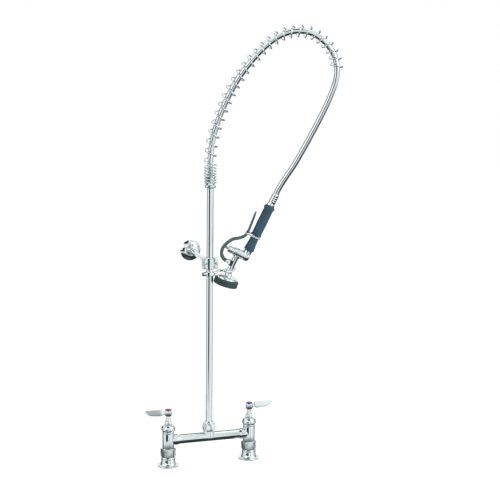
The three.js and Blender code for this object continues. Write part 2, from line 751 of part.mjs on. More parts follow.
// The wire's line: a helix round the hose, closed at the bottom and open above.
function springLine() {
  const { wireRadius, closedPitch, closedTurns } = SPRING;
  const { firstPitch, lastPitch, end } = SPRING_OPEN;
  const { stepsPerTurn } = SPRING_DETAIL;
  const line = hoseLine();
  line.arcLengthDivisions = 1000;
  const total = line.getLength();
  const below = hoseStart - (hoseNutBottom + wireRadius);
  const points = [];
  let along = -below;
  for (let i = 0; along < end - below; i++) {
    const angle = (i / stepsPerTurn) * 2 * Math.PI;
    const at = Math.max(0, along) / total;
    const centre = line.getPointAt(at);
    const tangent = line.getTangentAt(at);
    const outward = new THREE.Vector3(-tangent.z, 0, tangent.x);
    centre.z += Math.min(0, along);
    centre.addScaledVector(outward, springRadius * Math.cos(angle));
    centre.y += springRadius * Math.sin(angle);
    points.push(centre);
    const openPitch = THREE.MathUtils.lerp(firstPitch, lastPitch, (along + below) / end);
    along += (i < closedTurns * stepsPerTurn ? closedPitch : openPitch) / stepsPerTurn;
  }
  return points;
}

function springSeat() {
  const { height, edge } = SPRING_SEAT;
  return turned([
    [riserBore, springSeatBottom],
    [springSeatRadius - 3, springSeatBottom],
    [springSeatRadius, springSeatBottom + edge],
    [springSeatRadius, springSeatBottom + height],
    [riserBore, springSeatBottom + height],
  ]);
}

function hoseNut() {
  return hexagon(hoseNutFlats, hoseNutBottom, hoseNutTop, HOSE_NUT.chamfer)
    .subtract(rod(riserBore, hoseNutBottom - 1, RISER.top + GAP, SMOOTH))
    .subtract(rod(HOSE.boreRadius, hoseNutBottom, hoseNutTop + 1));
}

function hoseAndSpring() {
  const wire = springLine();
  const { wireRadius } = SPRING;
  const spring = swept(smooth(wire), wireRadius, SPRING_DETAIL.wireSides, wire.length - 1);
  const group = new THREE.Group();
  group.add(
    mesh("spring_seat", springSeat(), CHROME),
    mesh("hose_nut", hoseNut(), CHROME),
    mesh("hose", swept(hoseLine(), HOSE.radius, HOSE.sides, HOSE.steps), STEEL),
    mesh("overbend_spring", spring, CHROME),
  );
  return group;
}

// ---- Spray valve: its frame has +Z up the grip and +X away from the lever ----
const upperGripBottom = LOWER_GRIP.length + GRIP_GROOVE.length;
const gripBore = GRIP.tubeRadius + GAP;

function upperGrip() {
  const { length, radius, swell, flangeRadius } = GRIP;
  return turned([
    [gripBore, upperGripBottom],
    [flangeRadius - 0.6, upperGripBottom],
    [flangeRadius, upperGripBottom + 1.2],
    [flangeRadius - 0.4, upperGripBottom + 3.4],
    [radius, upperGripBottom + 5],
    [radius + swell, (upperGripBottom + length) / 2],
    [radius, length - 10],
    [flangeRadius, length - 7.5],
    [flangeRadius, length - 3.5],
    [radius - 0.6, length - 1.5],
    [radius - 1, length],
    [gripBore, length],
  ]);
}

function lowerGrip() {
  const { length, bottomRadius, topRadius } = LOWER_GRIP;
  return turned([
    [gripBore, GAP],
    [bottomRadius - 2, GAP],
    [bottomRadius, 2.6],
    [topRadius, length],
    [gripBore, length],
  ]);
}

function ferrule() {
  const { length, radius, flangeRadius, neck } = FERRULE;
  const bottom = GRIP.length + GAP;
  return turned([
    [HOSE.boreRadius, bottom],
    [flangeRadius, bottom],
    [flangeRadius, bottom + 4],
    [radius - neck, bottom + 5],
    [radius - neck, bottom + 9],
    [radius, bottom + 10],
    [radius, bottom + length - 3],
    [radius - 1, bottom + length],
    [HOSE.boreRadius, bottom + length],
  ]);
}

const outletBottom = -SPRAY_BODY.drop - SPRAY_BODY.radius - OUTLET.length;
const inBarrel = (made) => alongX(made).translate([0, 0, -SPRAY_BODY.drop]);

function sprayBody() {
  const { drop, radius, front, back, chamberRadius: chamber, inletRadius } = SPRAY_BODY;
  const barrel = turned([
    [0, front],
    [radius, front],
    [radius, back - 5],
    [radius - 2, back - 1.4],
    [radius - 5, back],
    [0, back],
  ]);
  const inlet = rod(inletRadius, -drop, 0, SMOOTH);
  const outlet = rod(NECK.radius + OUTLET.wall, outletBottom, -drop, SMOOTH);
  const cuts = [
    inBarrel(rod(chamber, front - 1, CHAMBER_BACK)),
    inBarrel(rod(GRIP.tubeBore, CHAMBER_BACK * 2, 0)),
    rod(gripBore, -4, 1),
    rod(GRIP.tubeBore, -drop, 0),
    rod(NECK.boreRadius, outletBottom - 1, -drop).translate([NECK.offset, 0, 0]),
  ];
  return cuts.reduce(
    (made, cut) => made.subtract(cut),
    inBarrel(barrel).add(inlet).add(outlet.translate([NECK.offset + OUTLET.shift, 0, 0])),
  );
}

function sprayBonnet() {
  const { flangeRadius, flange, capRadius, capLength } = SPRAY_BONNET;
  const seat = SPRAY_BODY.front - GAP;
  const step = seat - flange;
  const front = step - capLength;
  const bore = PLUNGER.radius + GAP;
  return inBarrel(
    turned([
      [bore, front],
      [capRadius - 1, front],
      [capRadius, front + 1],
      [capRadius, step],
      [flangeRadius - 1, step],
      [flangeRadius, step + 1],
      [flangeRadius, seat],
      [bore, seat],
    ]),
  );
}

const bonnetFront = SPRAY_BODY.front - GAP - SPRAY_BONNET.flange - SPRAY_BONNET.capLength;
const plungerTip = bonnetFront - PLUNGER.tip;
const collarFace = SPRAY_BODY.front + PLUNGER.collarOffset;
const collarBack = collarFace + PLUNGER.collar;

function plunger() {
  const { radius, length, collarRadius } = PLUNGER;
  const shaft = turned(
    [
      [0, plungerTip],
      [radius - 1, plungerTip],
      [radius, plungerTip + 1],
      [radius, collarFace],
      [collarRadius, collarFace],
      [collarRadius, collarBack],
      [radius, collarBack],
      [radius, plungerTip + length],
      [0, plungerTip + length],
    ],
    PLAIN,
  );
  return inBarrel(shaft);
}

function plungerSpring() {
  const { radius, wireRadius, turns, steps, wireSides } = PLUNGER_SPRING;
  const from = collarBack + GAP + wireRadius;
  const to = CHAMBER_BACK - GAP - wireRadius;
  const count = turns * steps;
  const points = Array.from({ length: count + 1 }, (_, i) => {
    const angle = (i / steps) * 2 * Math.PI;
    const x = THREE.MathUtils.lerp(from, to, i / count);
    return new THREE.Vector3(x, radius * Math.cos(angle), radius * Math.sin(angle));
  });
  return swept(smooth(points), wireRadius, wireSides, count).translate([0, 0, -SPRAY_BODY.drop]);
}

const atPivot = (made) => made.translate([PIVOT.x, 0, PIVOT.z]);

// The neck's tube with the two ears that carry the lever's pin.
function sprayNeck() {
  const { offset, radius, boreRadius } = NECK;
  const { x, z, pinRadius, pinHalf, earRadius, earThickness } = PIVOT;
  const top = outletBottom - GAP;
  const lean = radians(HEAD.lean);
  const intoHead = (up) => [HEAD.offset + up * Math.sin(lean), -HEAD.drop + up * Math.cos(lean)];
  const hub = HEAD.hubTop + GAP;
  const bend = [[offset, top - 12], [offset, top - 24], intoHead(hub + 4)];
  const tube = swept(smooth(inPlane([[offset, top], ...bend, intoHead(hub)])), radius, PLAIN, 10);
  const way = swept(smooth(inPlane([[offset, top + 2], ...bend, intoHead(hub - 2)])), boreRadius, 10, 8);
  const inner = SPRAY_LEVER.rootWidth / 2 + GAP;
  const ear = atPivot(alongY(rod(earRadius, -earThickness / 2, earThickness / 2)));
  const web = plate(
    [
      [x, z + earRadius],
      [offset, z + earRadius + 3],
      [offset, z - earRadius - 1],
      [x, z - earRadius],
    ],
    earThickness,
  );
  const out = inner + earThickness / 2;
  return tube
    .add(ear.add(web).translate([0, -out, 0]))
    .add(ear.add(web).translate([0, out, 0]))
    .subtract(atPivot(alongY(rod(earRadius + 2.4, -inner, inner))))
    .subtract(atPivot(alongY(rod(pinRadius + GAP, -pinHalf - 1, pinHalf + 1))))
    .subtract(way);
}

function sprayLever() {
  const { width, rootWidth, rootThickness, barThickness, tipThickness } = SPRAY_LEVER;
  const rootShare = 0.2;
  const { lerp } = THREE.MathUtils;
  const thickness = (t) =>
    t < rootShare
      ? lerp(rootThickness, barThickness, t / rootShare)
      : lerp(barThickness, tipThickness, (t - rootShare) / (1 - rootShare));
  const bar = plate(ribbon(LEVER_LINE, thickness, 30), width);
  const root = atPivot(alongY(rod(rootThickness / 2, -rootWidth / 2, rootWidth / 2)));
  const besideEars = atPivot(alongY(rod(PIVOT.earRadius + 2, -width, width)));
  const behind = PIVOT.z * 2;
  const between = plate([[behind, behind], [0, behind], [0, 0], [behind, 0]], rootWidth);
  const tip = LEVER_LINE.at(-1)[1];
  // The leaf's outline seen from the front: along the grip, across it
  const leaf = prism(
    [
      [behind, -width / 2],
      [tip - 33, -width / 2],
      [tip - 5, -width / 3],
      [tip + 3, 0],
      [tip - 5, width / 3],
      [tip - 33, width / 2],
      [behind, width / 2],
    ],
    0,
    -behind,
  ).rotate([0, -90, 0]);
  return bar
    .subtract(besideEars.subtract(between))
    .add(root)
    .intersect(leaf)
    .subtract(atPivot(alongY(rod(PIVOT.pinRadius + GAP, -width, width))));
}

const leverPin = () => atPivot(alongY(rod(PIVOT.pinRadius, -PIVOT.pinHalf, PIVOT.pinHalf)));

// A wire bent to a loop with squared corners.
function holdRing() {
  const { wireRadius, height, left, right, halfWidth } = HOLD_RING;
  const middle = (left + right) / 2;
  const half = (right - left) / 2;
  const squared = (value) => Math.sign(value) * Math.abs(value) ** 0.8;
  const corners = Array.from({ length: 16 }, (_, i) => {
    const angle = (i / 16) * 2 * Math.PI;
    const x = middle + half * squared(Math.cos(angle));
    return new THREE.Vector3(x, halfWidth * squared(Math.sin(angle)), height);
  });
  const loop = new THREE.CatmullRomCurve3(corners, true, "centripetal");
  const steps = 36;
  const rings = Array.from({ length: steps }, (_, i) => {
    const centre = loop.getPoint(i / steps);
    const tangent = loop.getTangent(i / steps);
    const outward = new THREE.Vector3(tangent.y, -tangent.x, 0);
    return roundOutline(wireRadius, 6).map(([a, b]) =>
      centre.clone().addScaledVector(outward, a).add(new THREE.Vector3(0, 0, b)),
    );
  });
  const corner = (i, k) => rings[i % steps][k % 6];
  const positions = [];
  for (let i = 0; i < steps; i++) {
    for (let k = 0; k < 6; k++) {
      const quad = [corner(i, k), corner(i + 1, k), corner(i + 1, k + 1), corner(i, k + 1)];
      const pair = [quad[0], quad[1], quad[2], quad[0], quad[2], quad[3]];
      positions.push(...pair.flatMap((point) => point.toArray()));
    }
  }
  const geometry = new THREE.BufferGeometry();
  geometry.setAttribute("position", new THREE.Float32BufferAttribute(positions, 3));
  return solid(geometry);
}

// ---- Spray head: its frame is centred on the bumper, +Z towards the neck ----
const headHalf = BUMPER.thickness / 2;

function headShell() {
  const { hubRadius, hubTop: top } = HEAD;
  const skirt = BUMPER.innerRadius - GAP;
  const lipTop = -headHalf + BUMPER.lipDepth;
  const dome = (wall, steps) =>
    Array.from({ length: steps + 1 }, (_, i) => {
      const angle = (i / steps) * (Math.PI / 2);
      const across = (domeRadius - wall - hubRadius) * Math.cos(angle);
      return [hubRadius + across, headHalf + 2 - wall + (top - headHalf - 8) * Math.sin(angle)];
    });
  const outside = dome(0, 6);
  const inside = dome(SHELL.wall, 6).filter(([radius]) => radius < skirt - SHELL.wall);
  return turned([
    [skirt, headHalf + GAP],
    [domeRadius, headHalf + GAP],
    ...outside,
    [hubRadius, top],
    [NECK.boreRadius, top],
    [NECK.boreRadius, inside.at(-1)[1]],
    ...inside.slice(0, -1).reverse(),
    [skirt - SHELL.wall, headHalf],
    [skirt - SHELL.wall, lipTop],
    [skirt, lipTop],
  ]);
}

function bumper() {
  const { radius, innerRadius, round, lip, lipDepth } = BUMPER;
  const turn = round * 0.3;
  return turned([
    [innerRadius - lip, -headHalf],
    [radius - round, -headHalf],
    [radius - turn, -headHalf + turn],
    [radius, -headHalf + round],
    [radius, headHalf - round],
    [radius - turn, headHalf - turn],
    [radius - round, headHalf],
    [innerRadius, headHalf],
    [innerRadius, -headHalf + lipDepth - GAP],
    [innerRadius - lip, -headHalf + lipDepth - GAP],
  ]);
}

const faceBottom = -headHalf + FACE.depth;

function sprayFace() {
  const { thickness, holes, holeRadius, holeCircle, centreRadius } = FACE;
  const radius = BUMPER.innerRadius - GAP - SHELL.wall - GAP;
  const disc = sleeve(radius, centreRadius, faceBottom, faceBottom + thickness, SMOOTH);
  const hole = rod(holeRadius, faceBottom - 1, faceBottom + thickness + 1, 6).translate([holeCircle, 0, 0]);
  const turns = Array.from({ length: holes }, (_, i) => (i / holes) * 360);
  return turns.reduce((made, angle) => made.subtract(hole.rotate([0, 0, angle])), disc);
}

function faceScrew() {
  const { headRadius, headHeight, shankRadius, shankLength } = FACE_SCREW;
  const seat = faceBottom - GAP;
  return rod(headRadius, seat - headHeight, seat).add(rod(shankRadius, seat - 1, seat + shankLength));
}

function sprayHead() {
  const head = new THREE.Group();
  head.position.set(HEAD.offset, 0, -HEAD.drop);
  head.rotation.y = radians(HEAD.lean);
  head.add(
    mesh("spray_head", headShell(), CHROME),
    mesh("rubber_bumper", bumper(), RUBBER),
    mesh("spray_face", sprayFace(), STEEL),
    mesh("face_screw", faceScrew(), STEEL),
  );
  return head;
}

function sprayValve() {
  const { tubeRadius, tubeBore, length } = GRIP;
  const group = new THREE.Group();
  group.position.set(sprayReach, 0, RISER.top - SPRAY.belowTop);
  group.rotation.y = radians(SPRAY.tilt);
  group.add(
    mesh("hose_ferrule", ferrule(), CHROME),
    mesh("handle_tube", sleeve(tubeRadius, tubeBore, GAP - 4, length), CHROME),
    mesh("upper_grip", upperGrip(), GRIP_GREY),
    mesh("lower_grip", lowerGrip(), GRIP_GREY),
    mesh("spray_valve_body", sprayBody(), CHROME),
    mesh("spray_bonnet", sprayBonnet(), CHROME),
    mesh("plunger", plunger(), STEEL),
    mesh("plunger_spring", plungerSpring(), STEEL),
    mesh("spray_neck", sprayNeck(), CHROME),
    mesh("lever_pin", leverPin(), STEEL),
    mesh("spray_lever", sprayLever(), LEVER_GREY),
    mesh("hold_ring", holdRing(), STEEL),
    sprayHead(),
  );
  return group;
}

// ---- Assembly ----
const arch = new THREE.Group();
arch.rotation.z = radians(ARCH_ANGLE);
arch.add(
  mesh("finger_hook", fingerHook(), CHROME),
  mesh("hook_set_screw", hookSetScrew(), STEEL),
  hoseAndSpring(),
  sprayValve(),
);

const faucet = new THREE.Group();
faucet.add(
  valve("hot", -INLET_CENTRES / 2, Math.PI, HOT_RED),
  valve("cold", INLET_CENTRES / 2, 0, COLD_BLUE),
  bridge(),
  wallBracket(),
  arch,
);

export default faucet;
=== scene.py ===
"""Looks of a pre rinse faucet: polished chrome bridge, riser, overbend spring and squeeze spray valve.

The CAD frame is loaded first and stays fixed. Each sub-assembly is a class that models its pieces in
millimetres on the bench, turns them into place in metres, and lets each one ride on its CAD body.
"""

from __future__ import annotations

import json
import logging
import math
from dataclasses import dataclass
from enum import Enum
from typing import Callable, Iterable, Sequence

import bpy
from mathutils import Matrix, Vector

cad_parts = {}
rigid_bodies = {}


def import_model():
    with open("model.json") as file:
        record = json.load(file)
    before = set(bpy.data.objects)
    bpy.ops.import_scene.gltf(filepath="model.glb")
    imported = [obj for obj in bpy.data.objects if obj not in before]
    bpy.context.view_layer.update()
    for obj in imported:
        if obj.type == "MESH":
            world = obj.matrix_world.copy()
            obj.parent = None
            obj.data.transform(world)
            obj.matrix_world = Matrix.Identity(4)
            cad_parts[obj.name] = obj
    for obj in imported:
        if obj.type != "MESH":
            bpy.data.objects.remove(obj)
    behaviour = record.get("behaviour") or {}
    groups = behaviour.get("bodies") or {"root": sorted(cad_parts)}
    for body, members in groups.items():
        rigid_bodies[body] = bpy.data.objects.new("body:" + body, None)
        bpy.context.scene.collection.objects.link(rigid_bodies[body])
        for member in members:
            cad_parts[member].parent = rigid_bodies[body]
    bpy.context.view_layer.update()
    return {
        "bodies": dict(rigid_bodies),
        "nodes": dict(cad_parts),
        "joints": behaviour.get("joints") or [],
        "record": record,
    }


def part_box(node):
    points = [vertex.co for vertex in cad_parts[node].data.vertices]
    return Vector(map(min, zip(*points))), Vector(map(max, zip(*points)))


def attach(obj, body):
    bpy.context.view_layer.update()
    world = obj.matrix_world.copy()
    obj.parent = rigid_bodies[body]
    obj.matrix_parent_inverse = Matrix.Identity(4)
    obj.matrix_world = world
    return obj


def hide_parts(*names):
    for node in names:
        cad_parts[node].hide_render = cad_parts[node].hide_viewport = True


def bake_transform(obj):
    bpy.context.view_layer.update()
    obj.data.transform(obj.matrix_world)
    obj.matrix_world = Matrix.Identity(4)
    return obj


LOG = logging.getLogger("faucet")
# One millimetre in metres
MM = 0.001
# Play between two pieces that are screwed or laid together, in millimetres
GAP = 0.3
# Sides of large turned pieces, of small ones, and of screws and their holes
SMOOTH = 96
PLAIN = 48
SMALL = 32
# Corner radius of a hexagon over half its width across flats
HEX_CORNER = 1 / math.cos(math.pi / 6)
Profile = list[tuple[float, float]]
Point = tuple[float, float, float]


def turned_by(degrees: float, axis: str) -> Matrix:
    """A right-handed turn about one axis, as a 4x4 matrix."""
    return Matrix.Rotation(math.radians(degrees), 4, axis)


def moved_by(x: float, y: float, z: float) -> Matrix:
    """A move in millimetres, as a 4x4 matrix."""
    return Matrix.Translation((x, y, z))


ALONG_X = turned_by(90, "Y")
ALONG_Y = turned_by(-90, "X")
ROOT = Matrix.Identity(4)
# The hose's arch leans to the user's side of the cold valve
ARCH = turned_by(-18, "Z")
# The foot of the grip, with Z up the grip
SPRAY = ARCH @ moved_by(91, 0, 520) @ turned_by(25, "Y")
# The middle of the spray head under the grip, its lean, and how far its hub stands over it
HEAD_X = -15.3
HEAD_Z = -92.0
HEAD_LEAN = -8.0
HEAD_HUB = 23.0
HEAD = SPRAY @ moved_by(HEAD_X, 0, HEAD_Z) @ turned_by(HEAD_LEAN, "Y")


class Body(Enum):
    """The CAD bodies that modelled pieces ride on."""

    ROOT = "root"
    HOT_HANDLE = "hot_handle"
    COLD_HANDLE = "cold_handle"
    SPRAY = "spray"
    SPRAY_LEVER = "spray_lever"
    PLUNGER = "plunger"
    HOLD_RING = "hold_ring"


class Slot(Enum):
    """The record's material slots, by name."""

    CHROME = "chrome"
    STEEL = "steel"
    HOSE = "steel_hose"
    SPRING = "spring_wire"
    RUBBER = "rubber"
    GRIP = "grip_grey"
    LEVER = "lever_grey"
    RED = "hot_red"
    BLUE = "cold_blue"


# ---- Shader maths ----
class Value:
    """A shader socket that adds Math nodes when it is used in an expression."""

    def __init__(self, shader: "Shader", socket: bpy.types.NodeSocket) -> None:
        """Wraps one output socket of a shader."""
        self.shader = shader
        self.socket = socket

    def _maths(self, operation: str, first: object, second: object) -> "Value":
        """Adds one Math node.

        Args:
            operation: the Math node's operation.
            first: its first value or link.
            second: its second value or link.

        Returns:
            The node's result.
        """
        return self.shader.node("ShaderNodeMath", {"operation": operation}, {0: first, 1: second})

    def __add__(self, other: object) -> "Value":
        """Self + other."""
        return self._maths("ADD", self, other)

    def __radd__(self, other: object) -> "Value":
        """Other + self."""
        return self._maths("ADD", other, self)

    def __sub__(self, other: object) -> "Value":
        """Self - other."""
        return self._maths("SUBTRACT", self, other)

    def __rsub__(self, other: object) -> "Value":
        """Other - self."""
        return self._maths("SUBTRACT", other, self)

    def __mul__(self, other: object) -> "Value":
        """Self * other."""
        return self._maths("MULTIPLY", self, other)

    def __rmul__(self, other: object) -> "Value":
        """Other * self."""
        return self._maths("MULTIPLY", other, self)

    def __pow__(self, other: object) -> "Value":
        """Self to the power of other."""
        return self._maths("POWER", self, other)


class Shader:
    """The node tree of a material or of the world."""

    def __init__(self, owner: bpy.types.Material | bpy.types.World) -> None:
        """Opens the node tree of its owner.

        Args:
            owner: the material or world that the nodes belong to.
        """
        owner.use_nodes = True
        self.owner = owner
        self.tree = owner.node_tree

    @classmethod
    def named(cls, name: str) -> "Shader":
        """Opens a new material's tree, which starts with a Principled shader."""
        return cls(bpy.data.materials.new(name))

    def node(self, kind: str, settings: dict | None = None, inputs: dict | None = None,
             output: str | int = 0) -> Value:
        """Adds any node.

        Args:
            kind: the node's type.
            settings: its properties; "stops" gives a ramp its positions and grey values or colours.
            inputs: values or links of its sockets, by name or number.
            output: the socket to return.

        Returns:
            The chosen output, ready for an expression.
        """
        made = self.tree.nodes.new(kind)
        for key, setting in (settings or {}).items():
            if key == "stops":
                self._set_stops(made.color_ramp, setting)
            else:
                setattr(made, key, setting)
        for key, value in (inputs or {}).items():
            self.put(made.inputs[key], value)
        return Value(self, made.outputs[output])

    @staticmethod
    def _set_stops(ramp: bpy.types.ColorRamp, stops: Sequence[tuple[float, Sequence[float]]]) -> None:
        """Gives a ramp its stops, in ascending order.

        Args:
            ramp: the ramp.
            stops: position and grey value or colour of each stop.
        """
        while len(ramp.elements) > 1:
            ramp.elements.remove(ramp.elements[-1])
        ramp.elements[0].position = stops[0][0]
        ramp.elements[0].color = (*stops[0][1], 1)
        for position, colour in stops[1:]:
            ramp.elements.new(position).color = (*colour, 1)

    def put(self, socket: bpy.types.NodeSocket, value: object) -> None:
        """Sets a socket to a value, or links a Value to it."""
        if isinstance(value, Value):
            self.tree.links.new(value.socket, socket)
        elif isinstance(value, tuple) and socket.type == "RGBA" and len(value) == 3:
            socket.default_value = (*value, 1)
        else:
            socket.default_value = value

    def surface(self, **inputs: object) -> bpy.types.Material:
        """Sets the Principled shader's sockets.

        Args:
            inputs: values or links, named with underscores for spaces.

        Returns:
            The finished material.
        """
        sockets = self.tree.nodes["Principled BSDF"].inputs
        for key, value in inputs.items():
            label = key.replace("_", " ").title().replace("Ior", "IOR")
            self.put(sockets[label], value)
        return self.owner

    def place(self, stretch: tuple[float, float, float] = (1, 1, 1)) -> Value:
        """The piece's own coordinates in metres, stretched along each axis."""
        own = self.node("ShaderNodeTexCoord", output="Object")
        return self.node("ShaderNodeMapping", {}, {"Vector": own, "Scale": stretch})

    def noise(self, scale: float, detail: float = 3, stretch: tuple[float, float, float] = (1, 1, 1),
              roughness: float = 0.5) -> Value:
        """Noise from 0 to 1 over the piece.

        Args:
            scale: how many features there are to the metre.
            detail: how many octaves.
            stretch: how the coordinates are stretched first.
            roughness: how strong the fine octaves are.

        Returns:
            The noise's value.
        """
        return self.node(
            "ShaderNodeTexNoise",
            {},
            {"Vector": self.place(stretch), "Scale": scale, "Detail": detail, "Roughness": roughness},
        )

    def between(self, share: Value, low: Sequence[float], high: Sequence[float]) -> Value:
        """A colour between two colours.

        Args:
            share: 0 for the first colour, 1 for the second.
            low: the first colour.
            high: the second colour.

        Returns:
            The mixed colour.
        """
        return self.node(
            "ShaderNodeValToRGB", {"stops": [(0.25, low), (0.75, high)]}, {"Fac": share}
        )

    def bump(self, height: Value, strength: float, distance: float) -> Value:
        """A bump of that height over the surface.

        Args:
            height: the height map.
            strength: how much of it shows.
            distance: its full height in metres.

        Returns:
            The bent normal.
        """
        settings = {"Height": height, "Strength": strength, "Distance": distance}
        return self.node("ShaderNodeBump", {}, settings)


# ---- Finishes ----
@dataclass(frozen=True)
class PlatedMetal:
    """Plated or polished metal: hand-buffed, with faint wipes, water film and fine scratches."""

    name: str
    clean: tuple[float, float, float] = (0.84, 0.875, 0.88)
    filmed: tuple[float, float, float] = (0.74, 0.79, 0.80)
    roughness: float = 0.03
    haze: float = 0.05
    ripple: float = 0.00003
    scratch_scale: float = 900

    def material(self) -> bpy.types.Material:
        """Builds the finish.

        Returns:
            The finished material.
        """
        shader = Shader.named(self.name)
        film = shader.noise(22, 4)
        wipes = shader.noise(self.scratch_scale, 2, (1, 1, 0.06))
        buffed = shader.noise(70, 2)
        return shader.surface(
            base_color=shader.between(film, self.clean, self.filmed),
            metallic=1.0,
            roughness=self.roughness + self.haze * film ** 2 + self.haze * 0.6 * wipes,
            normal=shader.bump(buffed + 0.08 * wipes, 0.35, self.ripple),
        )


@dataclass(frozen=True)
class DrawnSteel:
    """Bright stainless wire or strip with fine drawing lines and darker hollows."""

    name: str
    bright: tuple[float, float, float] = (0.74, 0.775, 0.78)
    dull: tuple[float, float, float] = (0.56, 0.60, 0.61)
    roughness: float = 0.14
    grain: float = 1400

    def material(self) -> bpy.types.Material:
        """Builds the finish.

        Returns:
            The finished material.
        """
        shader = Shader.named(self.name)
        tone = shader.noise(45, 4)
        lines = shader.noise(self.grain, 2, (1, 1, 0.2))
        return shader.surface(
            base_color=shader.between(tone, self.bright, self.dull),
            metallic=1.0,
            roughness=self.roughness + 0.1 * tone * lines,
            normal=shader.bump(lines, 0.2, 0.00002),
        )


@dataclass(frozen=True)
class MouldedGrip:
    """Coloured plastic or rubber: moulded skin with a fine grain, mottling and rubbed patches."""

    name: str
    colour: tuple[float, float, float]
    rubbed: tuple[float, float, float]
    roughness: float = 0.36
    grain: float = 1700
    depth: float = 0.00004
    coat: float = 0.0
    shine: float = 0.35

    def material(self) -> bpy.types.Material:
        """Builds the finish.

        Returns:
            The finished material.
        """
        shader = Shader.named(self.name)
        mottle = shader.noise(60, 5, roughness=0.6)
        grain = shader.noise(self.grain, 3)
        cells = shader.node(
            "ShaderNodeTexVoronoi", {}, {"Vector": shader.place(), "Scale": self.grain * 0.6}
        )
        return shader.surface(
            base_color=shader.between(mottle, self.colour, self.rubbed),
            roughness=self.roughness + 0.16 * mottle + 0.05 * grain,
            coat_weight=self.coat,
            specular_ior_level=self.shine,
            normal=shader.bump(0.6 * grain + 0.4 * cells, 0.35, self.depth),
        )


@dataclass(frozen=True)
class Enamel:
    """Glossy filled enamel of an index cap, a little uneven and paler where it is worn."""

    name: str
    colour: tuple[float, float, float]
    worn: tuple[float, float, float]

    def material(self) -> bpy.types.Material:
        """Builds the finish.

        Returns:
            The finished material.
        """
        shader = Shader.named(self.name)
        wear = shader.noise(260, 4)
        return shader.surface(
            base_color=shader.between(wear ** 2, self.colour, self.worn),
            roughness=0.16 + 0.12 * wear,
            coat_weight=0.6,
            normal=shader.bump(wear, 0.2, 0.00008),
        )


@dataclass(frozen=True)
class PressedFibre:
    """Fibre washer: matt, with short flecks."""

    name: str
    base: tuple[float, float, float] = (0.20, 0.10, 0.07)
    fleck: tuple[float, float, float] = (0.33, 0.19, 0.13)

    def material(self) -> bpy.types.Material:
        """Builds the finish.

        Returns:
            The finished material.
        """
        shader = Shader.named(self.name)
        flecks = shader.noise(1200, 4, (1, 1, 3))
        return shader.surface(
            base_color=shader.between(flecks, self.base, self.fleck),
            roughness=0.7 + 0.2 * flecks,
            normal=shader.bump(flecks, 0.5, 0.0001),
        )


class Finishes:
    """Every finish of the faucet, made once and shared."""

    def __init__(self) -> None:
        """Builds all the materials."""
        self.chrome = PlatedMetal("polished chrome").material()
        self.cast_chrome = PlatedMetal(
            "chrome on cast brass",
            clean=(0.80, 0.84, 0.845),
            filmed=(0.68, 0.73, 0.74),
            roughness=0.06,
            haze=0.08,
            ripple=0.00005,
        ).material()
        self.satin = PlatedMetal(
            "satin chrome",
            clean=(0.74, 0.785, 0.79),
            filmed=(0.60, 0.655, 0.665),
            roughness=0.17,
            haze=0.10,
        ).material()
        self.steel = DrawnSteel("stainless screws", roughness=0.22).material()
        self.hose = DrawnSteel(
            "interlocked stainless hose",
            bright=(0.80, 0.835, 0.84),
            dull=(0.68, 0.72, 0.73),
            roughness=0.05,
        ).material()
        self.spring = PlatedMetal("plated spring wire", roughness=0.05, scratch_scale=1600).material()
        self.brass = PlatedMetal(
            "machined brass", clean=(0.60, 0.42, 0.16), filmed=(0.42, 0.28, 0.10), roughness=0.24
        ).material()
        self.rubber = MouldedGrip(
            "bumper rubber", (0.018, 0.040, 0.047), (0.044, 0.082, 0.090), roughness=0.42
        ).material()
        self.fibre = PressedFibre("pressed fibre").material()
        self.grip = MouldedGrip(
            "slate grip sleeve", (0.026, 0.068, 0.112), (0.046, 0.100, 0.150), roughness=0.24
        ).material()
        self.lever = MouldedGrip(
            "coated squeeze lever", (0.060, 0.102, 0.106), (0.090, 0.142, 0.145), roughness=0.34
        ).material()
        self.red = Enamel("hot index", (0.33, 0.012, 0.045), (0.46, 0.05, 0.09)).material()
        self.blue = Enamel("cold index", (0.02, 0.045, 0.38), (0.07, 0.11, 0.48)).material()


# ---- The bench ----
def arc(centre: tuple[float, float], size: tuple[float, float], start: float, end: float,
        steps: int) -> Profile:
    """Points of an elliptical arc in a profile.

    Args:
        centre: radius and height of the arc's middle.
        size: its half width and half height.
        start: first angle in degrees, 0 pointing outwards and 90 up.
        end: last angle in degrees.
        steps: how many chords.

    Returns:
        The points from start to end.
    """
    angles = [math.radians(start + (end - start) * i / steps) for i in range(steps + 1)]
    return [(centre[0] + size[0] * math.cos(a), centre[1] + size[1] * math.sin(a)) for a in angles]


def smoothed(points: Sequence[Sequence[float]], steps: int) -> list[Vector]:
    """A centripetal Catmull-Rom line through points of any dimension.

    Args:
        points: the points that it passes through.
        steps: how many chords between two of them.

    Returns:
        The line's points, the given ones among them.
    """
    knots = [Vector(p) for p in points]
    ends = [knots[0] * 2 - knots[1], *knots, knots[-1] * 2 - knots[-2]]
    line = [knots[0]]
    for a, b, c, d in zip(ends, ends[1:], ends[2:], ends[3:]):
        t0 = 0.0
        t1 = t0 + math.sqrt((b - a).length)
        t2 = t1 + math.sqrt((c - b).length)
        t3 = t2 + math.sqrt((d - c).length)
        for i in range(1, steps + 1):
            t = t1 + (t2 - t1) * i / steps
            ab = a * ((t1 - t) / (t1 - t0)) + b * ((t - t0) / (t1 - t0))
            bc = b * ((t2 - t) / (t2 - t1)) + c * ((t - t1) / (t2 - t1))
            cd = c * ((t3 - t) / (t3 - t2)) + d * ((t - t2) / (t3 - t2))
            abc = ab * ((t2 - t) / (t2 - t0)) + bc * ((t - t0) / (t2 - t0))
            bcd = bc * ((t3 - t) / (t3 - t1)) + cd * ((t - t1) / (t3 - t1))
            line.append(abc * ((t2 - t) / (t2 - t1)) + bcd * ((t - t1) / (t2 - t1)))
    return line


